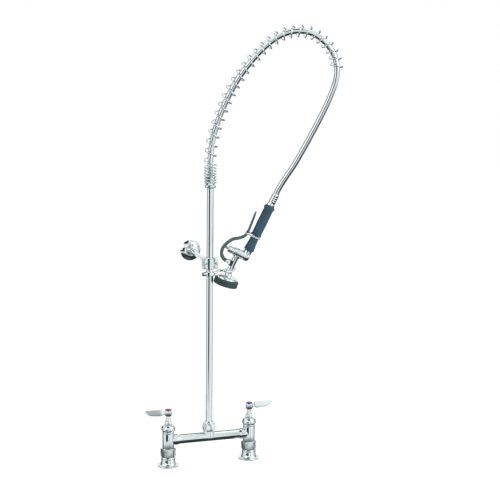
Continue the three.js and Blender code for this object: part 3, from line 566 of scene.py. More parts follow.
def spaced(line: Sequence[Vector], step: float) -> list[Vector]:
    """The same line with its points a constant distance apart.

    Args:
        line: points close together.
        step: the distance wanted; the last step may be shorter.

    Returns:
        The evenly spaced points, the last one included.
    """
    out = [line[0]]
    left = step
    for a, b in zip(line, line[1:]):
        length = (b - a).length
        done = 0.0
        while length - done >= left:
            done += left
            out.append(a.lerp(b, done / length))
            left = step
        left -= length - done
    if (out[-1] - line[-1]).length < step * 0.4:
        out.pop()
    return [*out, line[-1]]


@dataclass
class Station:
    """One cross-section of a bar that is bent in its own XZ plane."""

    x: float
    z: float
    heading: float
    half_thickness: float
    half_width: float


class Piece:
    """A piece on the bench, in millimetres round its own axis."""

    def __init__(self, made: bpy.types.Object, name: str) -> None:
        """Takes a new object on the bench.

        Args:
            made: the new object, at the origin.
            name: the piece's name.
        """
        self.object = made
        made.name = name
        made.data.name = name

    @staticmethod
    def clear() -> None:
        """Leaves edit mode and deselects everything."""
        if bpy.context.object is not None and bpy.context.object.mode != "OBJECT":
            bpy.ops.object.mode_set(mode="OBJECT")
        bpy.ops.object.select_all(action="DESELECT")

    @classmethod
    def _circle(cls, name: str, radius: float, height: float, sides: int, fill: str) -> "Piece":
        """Adds a circle and opens it in edit mode.

        Args:
            name: the piece's name.
            radius: the circle's radius.
            height: its height.
            sides: how many sides it has.
            fill: how the operator fills it.

        Returns:
            The new piece, still in edit mode.
        """
        cls.clear()
        bpy.ops.mesh.primitive_circle_add(
            vertices=sides, radius=radius, fill_type=fill, location=(0, 0, 0)
        )
        piece = cls(bpy.context.object, name)
        bpy.ops.object.mode_set(mode="EDIT")
        bpy.ops.mesh.select_all(action="SELECT")
        bpy.ops.transform.translate(value=(0, 0, height))
        return piece

    @staticmethod
    def _raise(profile: Profile) -> None:
        """Extrudes the selected circle ring by ring along a profile."""
        for (radius, height), (wider, higher) in zip(profile, profile[1:]):
            bpy.ops.mesh.extrude_region_move(TRANSFORM_OT_translate={"value": (0, 0, higher - height)})
            if wider != radius:
                grown = wider / radius
                bpy.ops.transform.resize(value=(grown, grown, 1), center_override=(0, 0, higher))

    @staticmethod
    def _close() -> None:
        """Points every face outwards and leaves edit mode."""
        bpy.ops.mesh.select_all(action="SELECT")
        bpy.ops.mesh.normals_make_consistent(inside=False)
        bpy.ops.object.mode_set(mode="OBJECT")

    @classmethod
    def turned(cls, name: str, profile: Profile, sides: int = SMOOTH) -> "Piece":
        """A solid turned about Z.

        Args:
            name: the piece's name.
            profile: radius and height of each ring, with a flat cap at each end.
            sides: how many sides the rings have.

        Returns:
            The new piece.
        """
        piece = cls._circle(name, profile[0][0], profile[0][1], sides, "NGON")
        cls._raise(profile)
        cls._close()
        return piece

    @classmethod
    def hollow(cls, name: str, profile: Profile, sides: int = SMOOTH) -> "Piece":
        """A ring turned about Z, whose profile closes on itself.

        Args:
            name: the piece's name.
            profile: radius and height of each ring, all round the section.
            sides: how many sides the rings have.

        Returns:
            The new piece.
        """
        piece = cls._circle(name, profile[0][0], profile[0][1], sides, "NOTHING")
        cls._raise(profile)
        bpy.ops.mesh.select_all(action="DESELECT")
        bpy.ops.mesh.select_non_manifold()
        bpy.ops.mesh.bridge_edge_loops()
        cls._close()
        return piece

    @classmethod
    def rod(cls, name: str, radius: float, low: float, high: float, sides: int = PLAIN,
            edge: float = 0.0) -> "Piece":
        """A plain rod along Z, with its end edges turned off.

        Args:
            name: the piece's name.
            radius: its radius.
            low: its lower end.
            high: its upper end.
            sides: how many sides it has.
            edge: how much its end edges are turned off.

        Returns:
            The new piece.
        """
        profile = [(radius, low), (radius, high)]
        if edge:
            inner = radius - edge
            profile = [(inner, low), (radius, low + edge), (radius, high - edge), (inner, high)]
        return cls.turned(name, profile, sides)

    @classmethod
    def block(cls, name: str, low: Point, high: Point) -> "Piece":
        """A box between two corners, as a start for shaping.

        Args:
            name: the piece's name.
            low: the lowest corner.
            high: the highest corner.

        Returns:
            The new piece.
        """
        cls.clear()
        middle = [(a + b) / 2 for a, b in zip(low, high)]
        bpy.ops.mesh.primitive_cube_add(size=1, location=middle)
        piece = cls(bpy.context.object, name)
        piece.object.scale = [b - a for a, b in zip(low, high)]
        bpy.ops.object.transform_apply(location=True, rotation=True, scale=True)
        return piece

    @classmethod
    def hexagon(cls, name: str, across_flats: float, crown: Profile, low: float, high: float) -> "Piece":
        """A hexagonal prism with flats facing Y, turned off to a round crown.

        Args:
            name: the piece's name.
            across_flats: distance between two opposite flats.
            crown: profile of the solid that it is turned down to.
            low: bottom of the prism.
            high: top of the prism.

        Returns:
            The new piece.
        """
        corner = across_flats / 2 * HEX_CORNER * 1.0005
        piece = cls.turned(name, [(corner, low), (corner, high)], 6)
        piece.turn(turned_by(30, "Z"))
        return piece.within(cls.turned("crown", crown, SMOOTH * 2))

    @classmethod
    def nut(cls, name: str, across_flats: float, low: float, high: float, chamfer: float) -> "Piece":
        """A plain hexagonal nut with both ends chamfered.

        Args:
            name: the piece's name.
            across_flats: distance between two opposite flats.
            low: its underside.
            high: its top.
            chamfer: height of each chamfer.

        Returns:
            The new piece.
        """
        end = across_flats / 2 * 0.97
        corner = across_flats / 2 * HEX_CORNER
        crown = [(end, low), (corner, low + chamfer), (corner, high - chamfer), (end, high)]
        return cls.hexagon(name, across_flats, crown, low, high)

    @classmethod
    def bar(cls, name: str, stations: Sequence[Station]) -> "Piece":
        """A flat bar extruded from section to section along a bend in the XZ plane.

        Args:
            name: the piece's name.
            stations: the sections in order; a heading of 0 points up and 90 along X.

        Returns:
            The new piece.
        """
        cls.clear()
        first = stations[0]
        bpy.ops.mesh.primitive_plane_add(size=2, location=(0, 0, 0))
        piece = cls(bpy.context.object, name)
        bpy.ops.object.mode_set(mode="EDIT")
        bpy.ops.mesh.select_all(action="SELECT")
        bpy.ops.transform.resize(
            value=(first.half_thickness, first.half_width, 1), center_override=(0, 0, 0)
        )
        cls._head_for(first.heading, (0, 0, 0))
        bpy.ops.transform.translate(value=(first.x, 0, first.z))
        for last, here in zip(stations, stations[1:]):
            step = (here.x - last.x, 0, here.z - last.z)
            bpy.ops.mesh.extrude_region_move(TRANSFORM_OT_translate={"value": step})
            cls._head_for(here.heading - last.heading, (here.x, 0, here.z))
            bpy.ops.transform.resize(
                value=(
                    here.half_thickness / last.half_thickness,
                    here.half_width / last.half_width,
                    1,
                ),
                orient_type="GLOBAL",
                orient_matrix=turned_by(here.heading, "Y").to_3x3(),
                orient_matrix_type="GLOBAL",
                center_override=(here.x, 0, here.z),
            )
        cls._close()
        return piece

    @staticmethod
    def _head_for(degrees: float, centre: Point) -> None:
        """Turns the selection about Y; with no window the operator turns the other way."""
        bpy.ops.transform.rotate(
            value=-math.radians(degrees), orient_axis="Y", center_override=centre
        )

    @classmethod
    def wire(cls, name: str, points: Sequence[Sequence[float]], radius: float | Sequence[float],
             sides: int = 12, closed: bool = False) -> "Piece":
        """A round wire or tube along a line.

        Args:
            name: the piece's name.
            points: the centre line.
            radius: one radius, or one for each point.
            sides: how many sides its section has, a multiple of 4.
            closed: whether the line is a loop.

        Returns:
            The new piece.
        """
        cls.clear()
        radii = [radius] * len(points) if isinstance(radius, (int, float)) else list(radius)
        line = bpy.data.curves.new(name, "CURVE")
        line.dimensions = "3D"
        line.bevel_depth = 1
        line.bevel_resolution = sides // 2 - 2
        line.use_fill_caps = not closed
        spline = line.splines.new("POLY")
        spline.points.add(len(points) - 1)
        for knot, point, size in zip(spline.points, points, radii):
            knot.co = (*point, 1)
            knot.radius = size
        spline.use_cyclic_u = closed
        drawn = bpy.data.objects.new(name, line)
        bpy.context.scene.collection.objects.link(drawn)
        bpy.context.view_layer.objects.active = drawn
        drawn.select_set(True)
        bpy.ops.object.convert(target="MESH")
        piece = cls(bpy.context.object, name)
        bpy.ops.object.mode_set(mode="EDIT")
        bpy.ops.mesh.select_all(action="SELECT")
        bpy.ops.mesh.remove_doubles(threshold=0.0001)
        cls._close()
        return piece

    def _take(self) -> None:
        """Makes this piece the only selected and active one."""
        self.clear()
        self.object.select_set(True)
        bpy.context.view_layer.objects.active = self.object

    def turn(self, matrix: Matrix) -> "Piece":
        """Turns or moves the piece, and keeps its object at the origin.

        Args:
            matrix: the turn or move.

        Returns:
            The same piece.
        """
        self._take()
        self.object.matrix_world = matrix
        bpy.ops.object.transform_apply(location=True, rotation=True, scale=True)
        return self

    def _modify(self, kind: str, **settings: object) -> None:
        """Adds one modifier and applies it.

        Args:
            kind: the modifier's type.
            settings: its settings.
        """
        self._take()
        modifier = self.object.modifiers.new(kind.lower(), kind)
        for key, value in settings.items():
            setattr(modifier, key, value)
        bpy.ops.object.modifier_apply(modifier=modifier.name)

    def _combine(self, operation: str, tool: "Piece") -> "Piece":
        """Joins, cuts or keeps what is common with another piece, and removes that one.

        Args:
            operation: the Boolean's operation.
            tool: the other piece.

        Returns:
            This piece.
        """
        self._modify("BOOLEAN", operation=operation, object=tool.object, solver="EXACT")
        mesh = tool.object.data
        bpy.data.objects.remove(tool.object)
        bpy.data.meshes.remove(mesh)
        return self

    def join(self, other: "Piece") -> "Piece":
        """Makes one solid of this piece and another."""
        return self._combine("UNION", other)

    def cut(self, tool: "Piece") -> "Piece":
        """Cuts another piece's shape out of this one."""
        return self._combine("DIFFERENCE", tool)

    def within(self, tool: "Piece") -> "Piece":
        """Keeps only what lies inside another piece's shape."""
        return self._combine("INTERSECT", tool)

    def soften(self, width: float, segments: int = 3, angle: float = 32) -> "Piece":
        """Rounds the sharp edges.

        Args:
            width: how far from the edge the rounding starts.
            segments: how many facets it has.
            angle: edges that turn more than this many degrees are rounded.

        Returns:
            The same piece.
        """
        self._modify(
            "BEVEL",
            width=width,
            segments=segments,
            limit_method="ANGLE",
            angle_limit=math.radians(angle),
            use_clamp_overlap=True,
            miter_outer="MITER_ARC",
        )
        return self

    def twin(self, name: str) -> "Piece":
        """A copy with its own mesh.

        Args:
            name: the copy's name.

        Returns:
            The copy.
        """
        copy = self.object.copy()
        copy.data = self.object.data.copy()
        bpy.context.scene.collection.objects.link(copy)
        return Piece(copy, name)

    def rounded_off(self, degrees: float = 34) -> "Piece":
        """Shades the piece smooth, except over sharp edges.

        Args:
            degrees: edges that turn more than this stay sharp.

        Returns:
            The same piece.
        """
        self._take()
        bpy.ops.object.shade_smooth_by_angle(angle=math.radians(degrees))
        return self

    def set_down(self, frame: Matrix, body: Body, slot: Slot, finish: bpy.types.Material,
                 *nodes: str) -> "Piece":
        """Puts the finished piece in its place in metres.

        Args:
            frame: the place of the bench's origin, in millimetres.
            body: the CAD body that it rides on.
            slot: not used.
            finish: its material.
            nodes: the CAD nodes that it stands for.

        Returns:
            The same piece.
        """
        self.turn(Matrix.Scale(MM, 4) @ frame)
        self.rounded_off()
        self.object.data.materials.clear()
        self.object.data.materials.append(finish)
        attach(self.object, body.value)
        if nodes:
            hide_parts(*nodes)
        LOG.info("%s: %d faces", self.object.name, len(self.object.data.polygons))
        return self


# ---- Inlets and valves ----
@dataclass
class Valve:
    """One inlet with its deck flange, coupling nut, valve body and lever handle."""

    finishes: Finishes
    flange_radius: float = 25.4
    flange_rim: float = 3.0
    flange_round: float = 0.9
    flange_step: float = 0.7
    bell_rise: float = 10.35
    inlet_radius: float = 10.3
    nipple_radius: float = 12.2
    nipple_height: float = 5.0
    collar_radius: float = 17.6
    flange_top: float = 23.0
    nut_flats: float = 32.4
    nut_top: float = 44.3
    nut_turn: float = -14.0
    throat_radius: float = 12.5
    socket_radius: float = 13.5
    tail_radius: float = 13.2
    tail_foot: float = 30.6
    body_radius: float = 14.7
    body_top: float = 86.0
    bonnet_radius: float = 17.4
    bonnet_top: float = 102.3
    packing_flats: float = 16.4
    packing_top: float = 112.2
    stem_radius: float = 5.5
    stem_foot: float = 66.0
    stem_top: float = 123.3
    spindle_radius: float = 3.8
    spindle_height: float = 8.0
    hub_radius: float = 8.8
    hub_top: float = 137.3
    cap_radius: float = 6.6
    cap_lap: float = 1.4
    cap_rim: float = 1.6
    cap_crown: float = 1.2
    rise: float = 3.0
    depth: float = 15.5
    neck: float = 9.5
    reach: float = 59.0
    blade_thickness: float = 5.2

    def deck_flange(self) -> Piece:
        """The bell-shaped flange that stands on the deck.

        Returns:
            The flange on the bench.
        """
        r = self.flange_radius
        collar = self.collar_radius
        top = self.flange_top
        corner = self.flange_round
        foot = [(self.inlet_radius, 0), (r - corner, 0)]
        rim = arc((r - corner, corner), (corner, corner), -90, 0, 4)[1:]
        across = r - collar
        step = self.flange_step
        bell = [
            (r - step - (across - step) * math.sin(a), self.flange_rim + self.bell_rise * (1 - math.cos(a)))
            for a in (math.radians(90 * i / 18) for i in range(19))
        ]
        neck = [
            (collar, top - 6.4),
            (collar - 0.5, top - 5.9),
            (collar - 0.5, top - 5.3),
            (collar, top - 4.8),
            (collar, top - 2),
            (collar - 1.5, top),
            (self.nipple_radius, top),
            (self.nipple_radius, top + self.nipple_height),
            (self.inlet_radius, top + self.nipple_height),
        ]
        edge = [(r, self.flange_rim - 0.4), (r - step, self.flange_rim)]
        return Piece.hollow("deck_flange", foot + rim + edge + bell[1:] + neck).soften(0.25, 2)

    def coupling_nut(self) -> Piece:
        """The union nut over the flange's nipple.

        Returns:
            The nut on the bench.
        """
        low = self.flange_top + GAP
        nut = Piece.nut("coupling_nut", self.nut_flats, low, self.nut_top, 2.2)
        nut.cut(Piece.rod("throat", self.throat_radius, low - 1, low + 4, SMOOTH))
        nut.cut(Piece.rod("socket", self.socket_radius, low + 3, self.nut_top + 1, SMOOTH))
        return nut.soften(0.45, 3).turn(turned_by(self.nut_turn, "Z"))

    def valve_body(self) -> Piece:
        """The upright valve body, with a fine turned line under its bonnet.

        Returns:
            The body on the bench.
        """
        low = self.nut_top + GAP
        r = self.body_radius
        top = self.body_top
        profile = [
            (self.tail_radius, self.tail_foot),
            (self.tail_radius, low),
            (r - 0.9, low),
            (r, low + 0.9),
            (r, top - 5.4),
            (r - 0.45, top - 5.1),
            (r - 0.45, top - 4.6),
            (r, top - 4.3),
            (r, top - 0.8),
            (r - 0.8, top),
        ]
        return Piece.turned("valve_body", profile).soften(0.2, 2)

    def bonnet(self) -> Piece:
        """The domed bonnet, with a narrow shoulder groove.

        Returns:
            The bonnet on the bench.
        """
        low = self.body_top + GAP
        r = self.bonnet_radius
        dome = [
            (10 + (r - 10) * math.cos(a), low + 5.5 + 10.2 * math.sin(a) ** 1.2)
            for a in (math.radians(90 * i / 22) for i in range(23))
        ]
        skirt = [(self.body_radius, low), (r - 0.7, low + 2.4), (r, low + 3.4)]
        top = [(9.2, dome[-1][1]), (9.2, self.bonnet_top), (6.3, self.bonnet_top)]
        return Piece.turned("bonnet", skirt + dome + top).soften(0.25, 2)

    def packing_nut(self) -> Piece:
        """The small faceted nut round the stem.

        Returns:
            The nut on the bench.
        """
        low = self.bonnet_top + GAP
        nut = Piece.nut("packing_nut", self.packing_flats, low, self.packing_top, 1.3)
        nut.cut(Piece.rod("stem_hole", self.stem_radius + GAP, low - 1, self.packing_top + 1))
        return nut.soften(0.3, 3)

    def stem(self) -> Piece:
        """The stem between the packing nut and the handle's hub.

        Returns:
            The stem on the bench.
        """
        r = self.stem_radius
        profile = [
            (r, self.stem_foot),
            (r, self.stem_top - 0.5),
            (r - 0.5, self.stem_top),
            (self.spindle_radius, self.stem_top),
            (self.spindle_radius, self.stem_top + self.spindle_height),
        ]
        return Piece.turned("stem", profile, PLAIN)

    def lever_handle(self) -> Piece:
        """The hub and its upright wing-shaped blade, along +X.

        Returns:
            The handle on the bench.
        """
        r = self.hub_radius
        low = self.stem_top + GAP
        hub = Piece.turned(
            "lever_handle",
            [
                (self.spindle_radius + GAP, low + 9),
                (self.spindle_radius + GAP, low),
                (r - 1.6, low),
                (r - 0.4, low + 0.7),
                (r, low + 1.8),
                (r, self.hub_top - 1),
                (r - 1, self.hub_top),
                (self.cap_radius + GAP, self.hub_top),
                (self.cap_radius + GAP, self.hub_top - 2),
            ],
        )
        top = self.hub_top + self.rise
        neck_top = self.hub_top - 1
        edges = [
            (2, neck_top, neck_top - self.neck),
            (r + 0.8, neck_top, neck_top - self.neck),
            (self.reach * 0.235, top - 0.8, top - self.depth + 1.6),
            (self.reach * 0.3, top, top - self.depth),
            (self.reach * 0.6, top + 0.05, top - self.depth * 0.96),
            (self.reach * 0.74, top, top - self.depth * 0.9),
            (self.reach * 0.82, top - 0.1, top - self.depth * 0.79),
            (self.reach * 0.91, top - 0.3, top - self.depth * 0.53),
            (self.reach * 0.975, top - 0.9, top - 4.0),
            (self.reach - 0.2, top - 1.7, top - 2.6),
        ]
        stations = [
            Station(x, (high + foot) / 2, 90, (high - foot) / 2, self.half_blade(x))
            for x, high, foot in smoothed(edges, 4)
        ]
        blade = Piece.bar("blade", stations).soften(1.5, 5, 40)
        return hub.join(blade)

    def half_blade(self, x: float) -> float:
        """Half the blade's thickness at a distance from the hub's axis."""
        return self.blade_thickness / 2 * (1 - 0.42 * (x / self.reach) ** 2)

    def index_cap(self) -> Piece:
        """The coloured index cap: a crowned disc over the hub, with its plug in the hub's recess.

        Returns:
            The cap on the bench.
        """
        r = self.cap_radius
        rim = r + self.cap_lap
        low = self.hub_top + GAP
        top = low + self.cap_rim
        crown = [
            (rim * math.cos(a) - 0.4 * math.sin(a), top - 0.3 + (self.cap_crown + 0.3) * math.sin(a))
            for a in (math.radians(84 * i / 12) for i in range(1, 13))
        ]
        plug = [(r, self.hub_top - 1.7), (r, low), (rim - 0.3, low), (rim, low + 0.3), (rim, top - 0.3)]
        return Piece.turned("index_cap", [*plug, *crown], PLAIN)

    def build(self) -> None:
        """Models each piece once, and sets it down on both sides."""
        chrome = self.finishes.chrome
        fixed = {
            "deck_flange": self.deck_flange(),
            "coupling_nut": self.coupling_nut(),
            "valve_body": self.valve_body(),
            "bonnet": self.bonnet(),
            "packing_nut": self.packing_nut(),
        }
        moving = {"stem": self.stem(), "lever_handle": self.lever_handle(), "index_cap": self.index_cap()}
        sides = (
            ("hot", Body.HOT_HANDLE, 180, self.finishes.red, Slot.RED),
            ("cold", Body.COLD_HANDLE, 0, self.finishes.blue, Slot.BLUE),
        )
        special = {
            "coupling_nut": self.finishes.satin,
            "valve_body": self.finishes.cast_chrome,
            "bonnet": self.finishes.cast_chrome,
        }
        for side, handle, direction, enamel, enamel_slot in sides:
            low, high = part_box(f"{side}_deck_flange")
            centre = (low + high) / 2 / MM
            place = moved_by(centre.x, 0, 0)
            for name, piece in fixed.items():
                finish = special.get(name, chrome)
                made = piece.twin(f"{side}_{name}_fine")
                made.set_down(place, Body.ROOT, Slot.CHROME, finish, f"{side}_{name}")
            for name, piece in moving.items():
                capped = name == "index_cap"
                made = piece.twin(f"{side}_{name}_fine")
                made.set_down(
                    place @ turned_by(direction, "Z"),
                    handle,
                    enamel_slot if capped else Slot.CHROME,
                    enamel if capped else chrome,
                    f"{side}_{name}",
                )
        for piece in (*fixed.values(), *moving.values()):
            bpy.data.objects.remove(piece.object)


# ---- Bridge and riser ----
@dataclass
class Bridge:
    """The bridge between the valves, its nut and the riser."""

    finishes: Finishes
    axis: float = 63.6
    radius: float = 11.4
    flare: float = 13.0
    flare_start: float = 72.9
    flare_end: float = 81.3
    valve_centre: float = 101.6
    valve_radius: float = 14.9
    boss_radius: float = 13.8
    boss_foot: float = 6.6
    boss_round: float = 6.0
    boss_top: float = 80.0
    thread_radius: float = 11.6
    thread_height: float = 10.0
    nut_flats: float = 28.2
    nut_top: float = 102.3
    collar_lap: float = 2.9
    collar_height: float = 4.0
    riser_radius: float = 8.3
    riser_top: float = 690.0

    def body(self) -> Piece:
        """The cast bar with its round boss under the riser.

        Returns:
            The bridge on the bench.
        """
        ease = [
            (
                self.radius + (self.flare - self.radius) * (1 - math.cos(math.pi * i / 8)) / 2,
                self.flare_start + (self.flare_end - self.flare_start) * i / 8,
            )
            for i in range(9)
        ]
        right = [*ease, (self.flare, self.valve_centre)]
        left = [(r, -x) for r, x in reversed(right)]
        bar = Piece.turned("bridge_body_fine", left + right).turn(moved_by(0, 0, self.axis) @ ALONG_X)
        low = self.axis - self.boss_foot
        corner = self.boss_round
        foot = arc((self.boss_radius - corner, low + corner), (corner, corner), -90, 0, 10)
        shoulder = [(self.boss_radius, self.boss_top - 1.2), (self.boss_radius - 1.2, self.boss_top)]
        thread = [
            (self.thread_radius, self.boss_top),
            (self.thread_radius, self.boss_top + self.thread_height),
        ]
        bar.join(Piece.turned("boss", [*foot, *shoulder, *thread]))
        for side in (-1, 1):
            wall = Piece.rod("valve_wall", self.valve_radius, 0, 120, SMOOTH)
            bar.cut(wall.turn(moved_by(side * self.valve_centre, 0, 0)))
        return bar

    def nut(self) -> Piece:
        """The rounded hexagonal nut that holds the riser.

        Returns:
            The nut on the bench.
        """
        low = self.boss_top + GAP
        flat = self.nut_flats / 2
        corner = flat * HEX_CORNER
        crown = [
            (flat - 1.2, low),
            *arc((corner - 2.6, low + 3.6), (2.6, 3.6), -66, 0, 6),
            *arc((corner - 5, low + 12.6), (5, 7.4), 0, 62, 12),
            (self.riser_radius + 2.7, self.nut_top - 1.3),
            (self.riser_radius + 1.9, self.nut_top),
        ]
        nut = Piece.hexagon("riser_nut_fine", self.nut_flats, crown, low, self.nut_top)
        nut.cut(Piece.rod("thread", self.thread_radius + GAP, low - 1, low + 16, SMOOTH))
        nut.cut(Piece.rod("hole", self.riser_radius + 0.15, low, self.nut_top + 1, SMOOTH))
        return nut.soften(0.5, 3)

    def riser(self) -> Piece:
        """The riser tube with the collar that its nut pulls down.

        Returns:
            The riser on the bench.
        """
        low = self.boss_top + 12.6
        high = low + self.collar_height
        r = self.riser_radius
        collar = r + self.collar_lap
        profile = [
            (collar, low),
            (collar, high),
            (r, high),
            (r, self.riser_top - 0.6),
            (r - 0.6, self.riser_top),
        ]
        return Piece.turned("riser_tube_fine", profile)

    def build(self) -> None:
        """Models and sets down the bridge's pieces."""
        chrome = self.finishes.chrome
        cast = self.finishes.cast_chrome
        self.body().set_down(ROOT, Body.ROOT, Slot.CHROME, cast, "bridge_body")
        self.nut().set_down(ROOT, Body.ROOT, Slot.CHROME, chrome, "riser_nut")
        self.riser().set_down(ROOT, Body.ROOT, Slot.CHROME, chrome, "riser_tube")


# ---- Wall bracket ----
@dataclass
class WallBracket:
    """The wall flange, its arm and the clamp round the riser."""

    finishes: Finishes
    wall: float = 152.4
    flange_radius: float = 25.4
    collar_radius: float = 8.6
    collar_start: float = 137.4
    arm_radius: float = 6.0
    arm_start: float = 11.9
    arm_end: float = 148.5
    clamp_width: float = 38.0
    clamp_height: float = 26.5
    clamp_plate: float = 6.5
    bulge_radius: float = 12.6
    bore: float = 8.6
    boss_radius: float = 9.4
    boss_end: float = 19.6
    screw_offset: float = 14.4
    screw_radius: float = 2.0
    screw_head: float = 3.4
    parting: float = 0.15

    def flange(self) -> Piece:
        """The domed flange against the wall.

        Returns:
            The flange on the bench.
        """
        r = self.collar_radius
        curve = [
            (r + 1 + (self.flange_radius - 1.6 - r) * t, self.wall - 7.6 + 6.2 * t ** 2.2)
            for t in (i / 18 for i in range(19))
        ]
        profile = [
            (self.arm_radius + GAP, self.collar_start),
            (r - 0.7, self.collar_start),
            (r, self.collar_start + 0.7),
            (r, self.wall - 8.4),
            *curve,
            (self.flange_radius, self.wall - 1.0),
            (self.flange_radius, self.wall),
            (self.arm_radius + GAP, self.wall),
        ]
        return Piece.hollow("wall_flange_fine", profile).soften(0.25, 2)

    def clamp_half(self, name: str) -> Piece:
        """One half of the clamp, with its mating face near y = 0 and its back towards +Y.

        Args:
            name: the piece's name.

        Returns:
            The half on the bench.
        """
        half = self.clamp_width / 2
        tall = self.clamp_height / 2
        plate = Piece.block(name, (-half, self.parting, -tall), (half, self.clamp_plate, tall))
        plate.soften(1.3, 4, 60)
        bulge = Piece.rod("bulge", self.bulge_radius, -tall, tall, SMOOTH, 0.8)
        bulge.cut(Piece.block("front", (-half, -half, -half), (half, self.parting, half)))
        plate.join(bulge)
        return plate.cut(Piece.rod("bore", self.bore, -tall - 1, tall + 1, SMOOTH))

    def clamp_rear(self) -> Piece:
        """The rear half, with the boss that takes the arm.

        Returns:
            The rear half on the bench.
        """
        rear = self.clamp_half("clamp_rear_fine")
        boss = Piece.rod("boss", self.boss_radius, self.bulge_radius - 3, self.boss_end, SMOOTH, 0.8)
        bore = self.arm_radius + self.parting
        socket = Piece.rod("socket", bore, self.bulge_radius - 1, self.boss_end + 1, SMOOTH)
        return rear.join(boss.turn(ALONG_Y)).cut(socket.turn(ALONG_Y))

    def screw(self) -> Piece:
        """A slotted clamp screw with a rounded head, along +Y.

        Returns:
            The screw on the bench.
        """
        seat = -self.clamp_plate - GAP
        r = self.screw_head
        shank = self.screw_radius
        dome = arc((r - 2, seat - 0.8), (2, 1.7), -88, 0, 8)
        profile = [*dome, (r, seat), (shank, seat), (shank, self.clamp_plate + 2.5)]
        head = Piece.turned("clamp_screw", profile, PLAIN)
        head.cut(Piece.block("slot", (-0.5, -r - 1, seat - 4), (0.5, r + 1, seat - 1.5)))
        return head.turn(ALONG_Y)

    def set_screw(self) -> Piece:
        """The flange's set screw with a hexagonal socket, along -X of the arm.

        Returns:
            The set screw on the bench.
        """
        top = self.collar_radius + 1.5
        foot = self.arm_radius + GAP
        screw = Piece.rod("bracket_set_screw_fine", self.screw_radius, foot, top, SMALL, 0.3)
        screw.cut(Piece.rod("socket", 1.1, top - 1.6, top + 1, 6))
        return screw.turn(moved_by(0, 0, self.wall - 11) @ turned_by(-90, "Y"))

    def build(self) -> None:
        """Models and sets down the bracket's pieces."""
        low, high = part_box("bracket_arm")
        middle = (low + high) / 2 / MM
        place = moved_by(0, 0, middle.z)
        out = place @ ALONG_Y
        chrome = self.finishes.chrome
        cast = self.finishes.cast_chrome
        steel = self.finishes.steel
        arm = Piece.rod("bracket_arm_fine", self.arm_radius, self.arm_start, self.arm_end, SMOOTH, 0.3)
        self.flange().set_down(out, Body.ROOT, Slot.CHROME, chrome, "wall_flange")
        arm.set_down(out, Body.ROOT, Slot.CHROME, chrome, "bracket_arm")
        self.set_screw().set_down(out, Body.ROOT, Slot.STEEL, steel, "bracket_set_screw")
        self.clamp_rear().set_down(place, Body.ROOT, Slot.CHROME, cast, "clamp_rear")
        front = self.clamp_half("clamp_front_fine")
        for side in (-1, 1):
            hole = Piece.rod("hole", self.screw_radius + GAP, -10, 10, SMALL).turn(ALONG_Y)
            front.cut(hole.turn(moved_by(side * self.screw_offset, 0, 0)))
        front.set_down(place @ turned_by(180, "Z"), Body.ROOT, Slot.CHROME, cast, "clamp_front")
        screw = self.screw()
        for side, offset in (("left", -self.screw_offset), ("right", self.screw_offset)):
            made = screw.twin(f"clamp_screw_{side}_fine")
            here = place @ moved_by(offset, 0, 0)
            made.set_down(here, Body.ROOT, Slot.STEEL, steel, f"clamp_screw_{side}")
        bpy.data.objects.remove(screw.object)


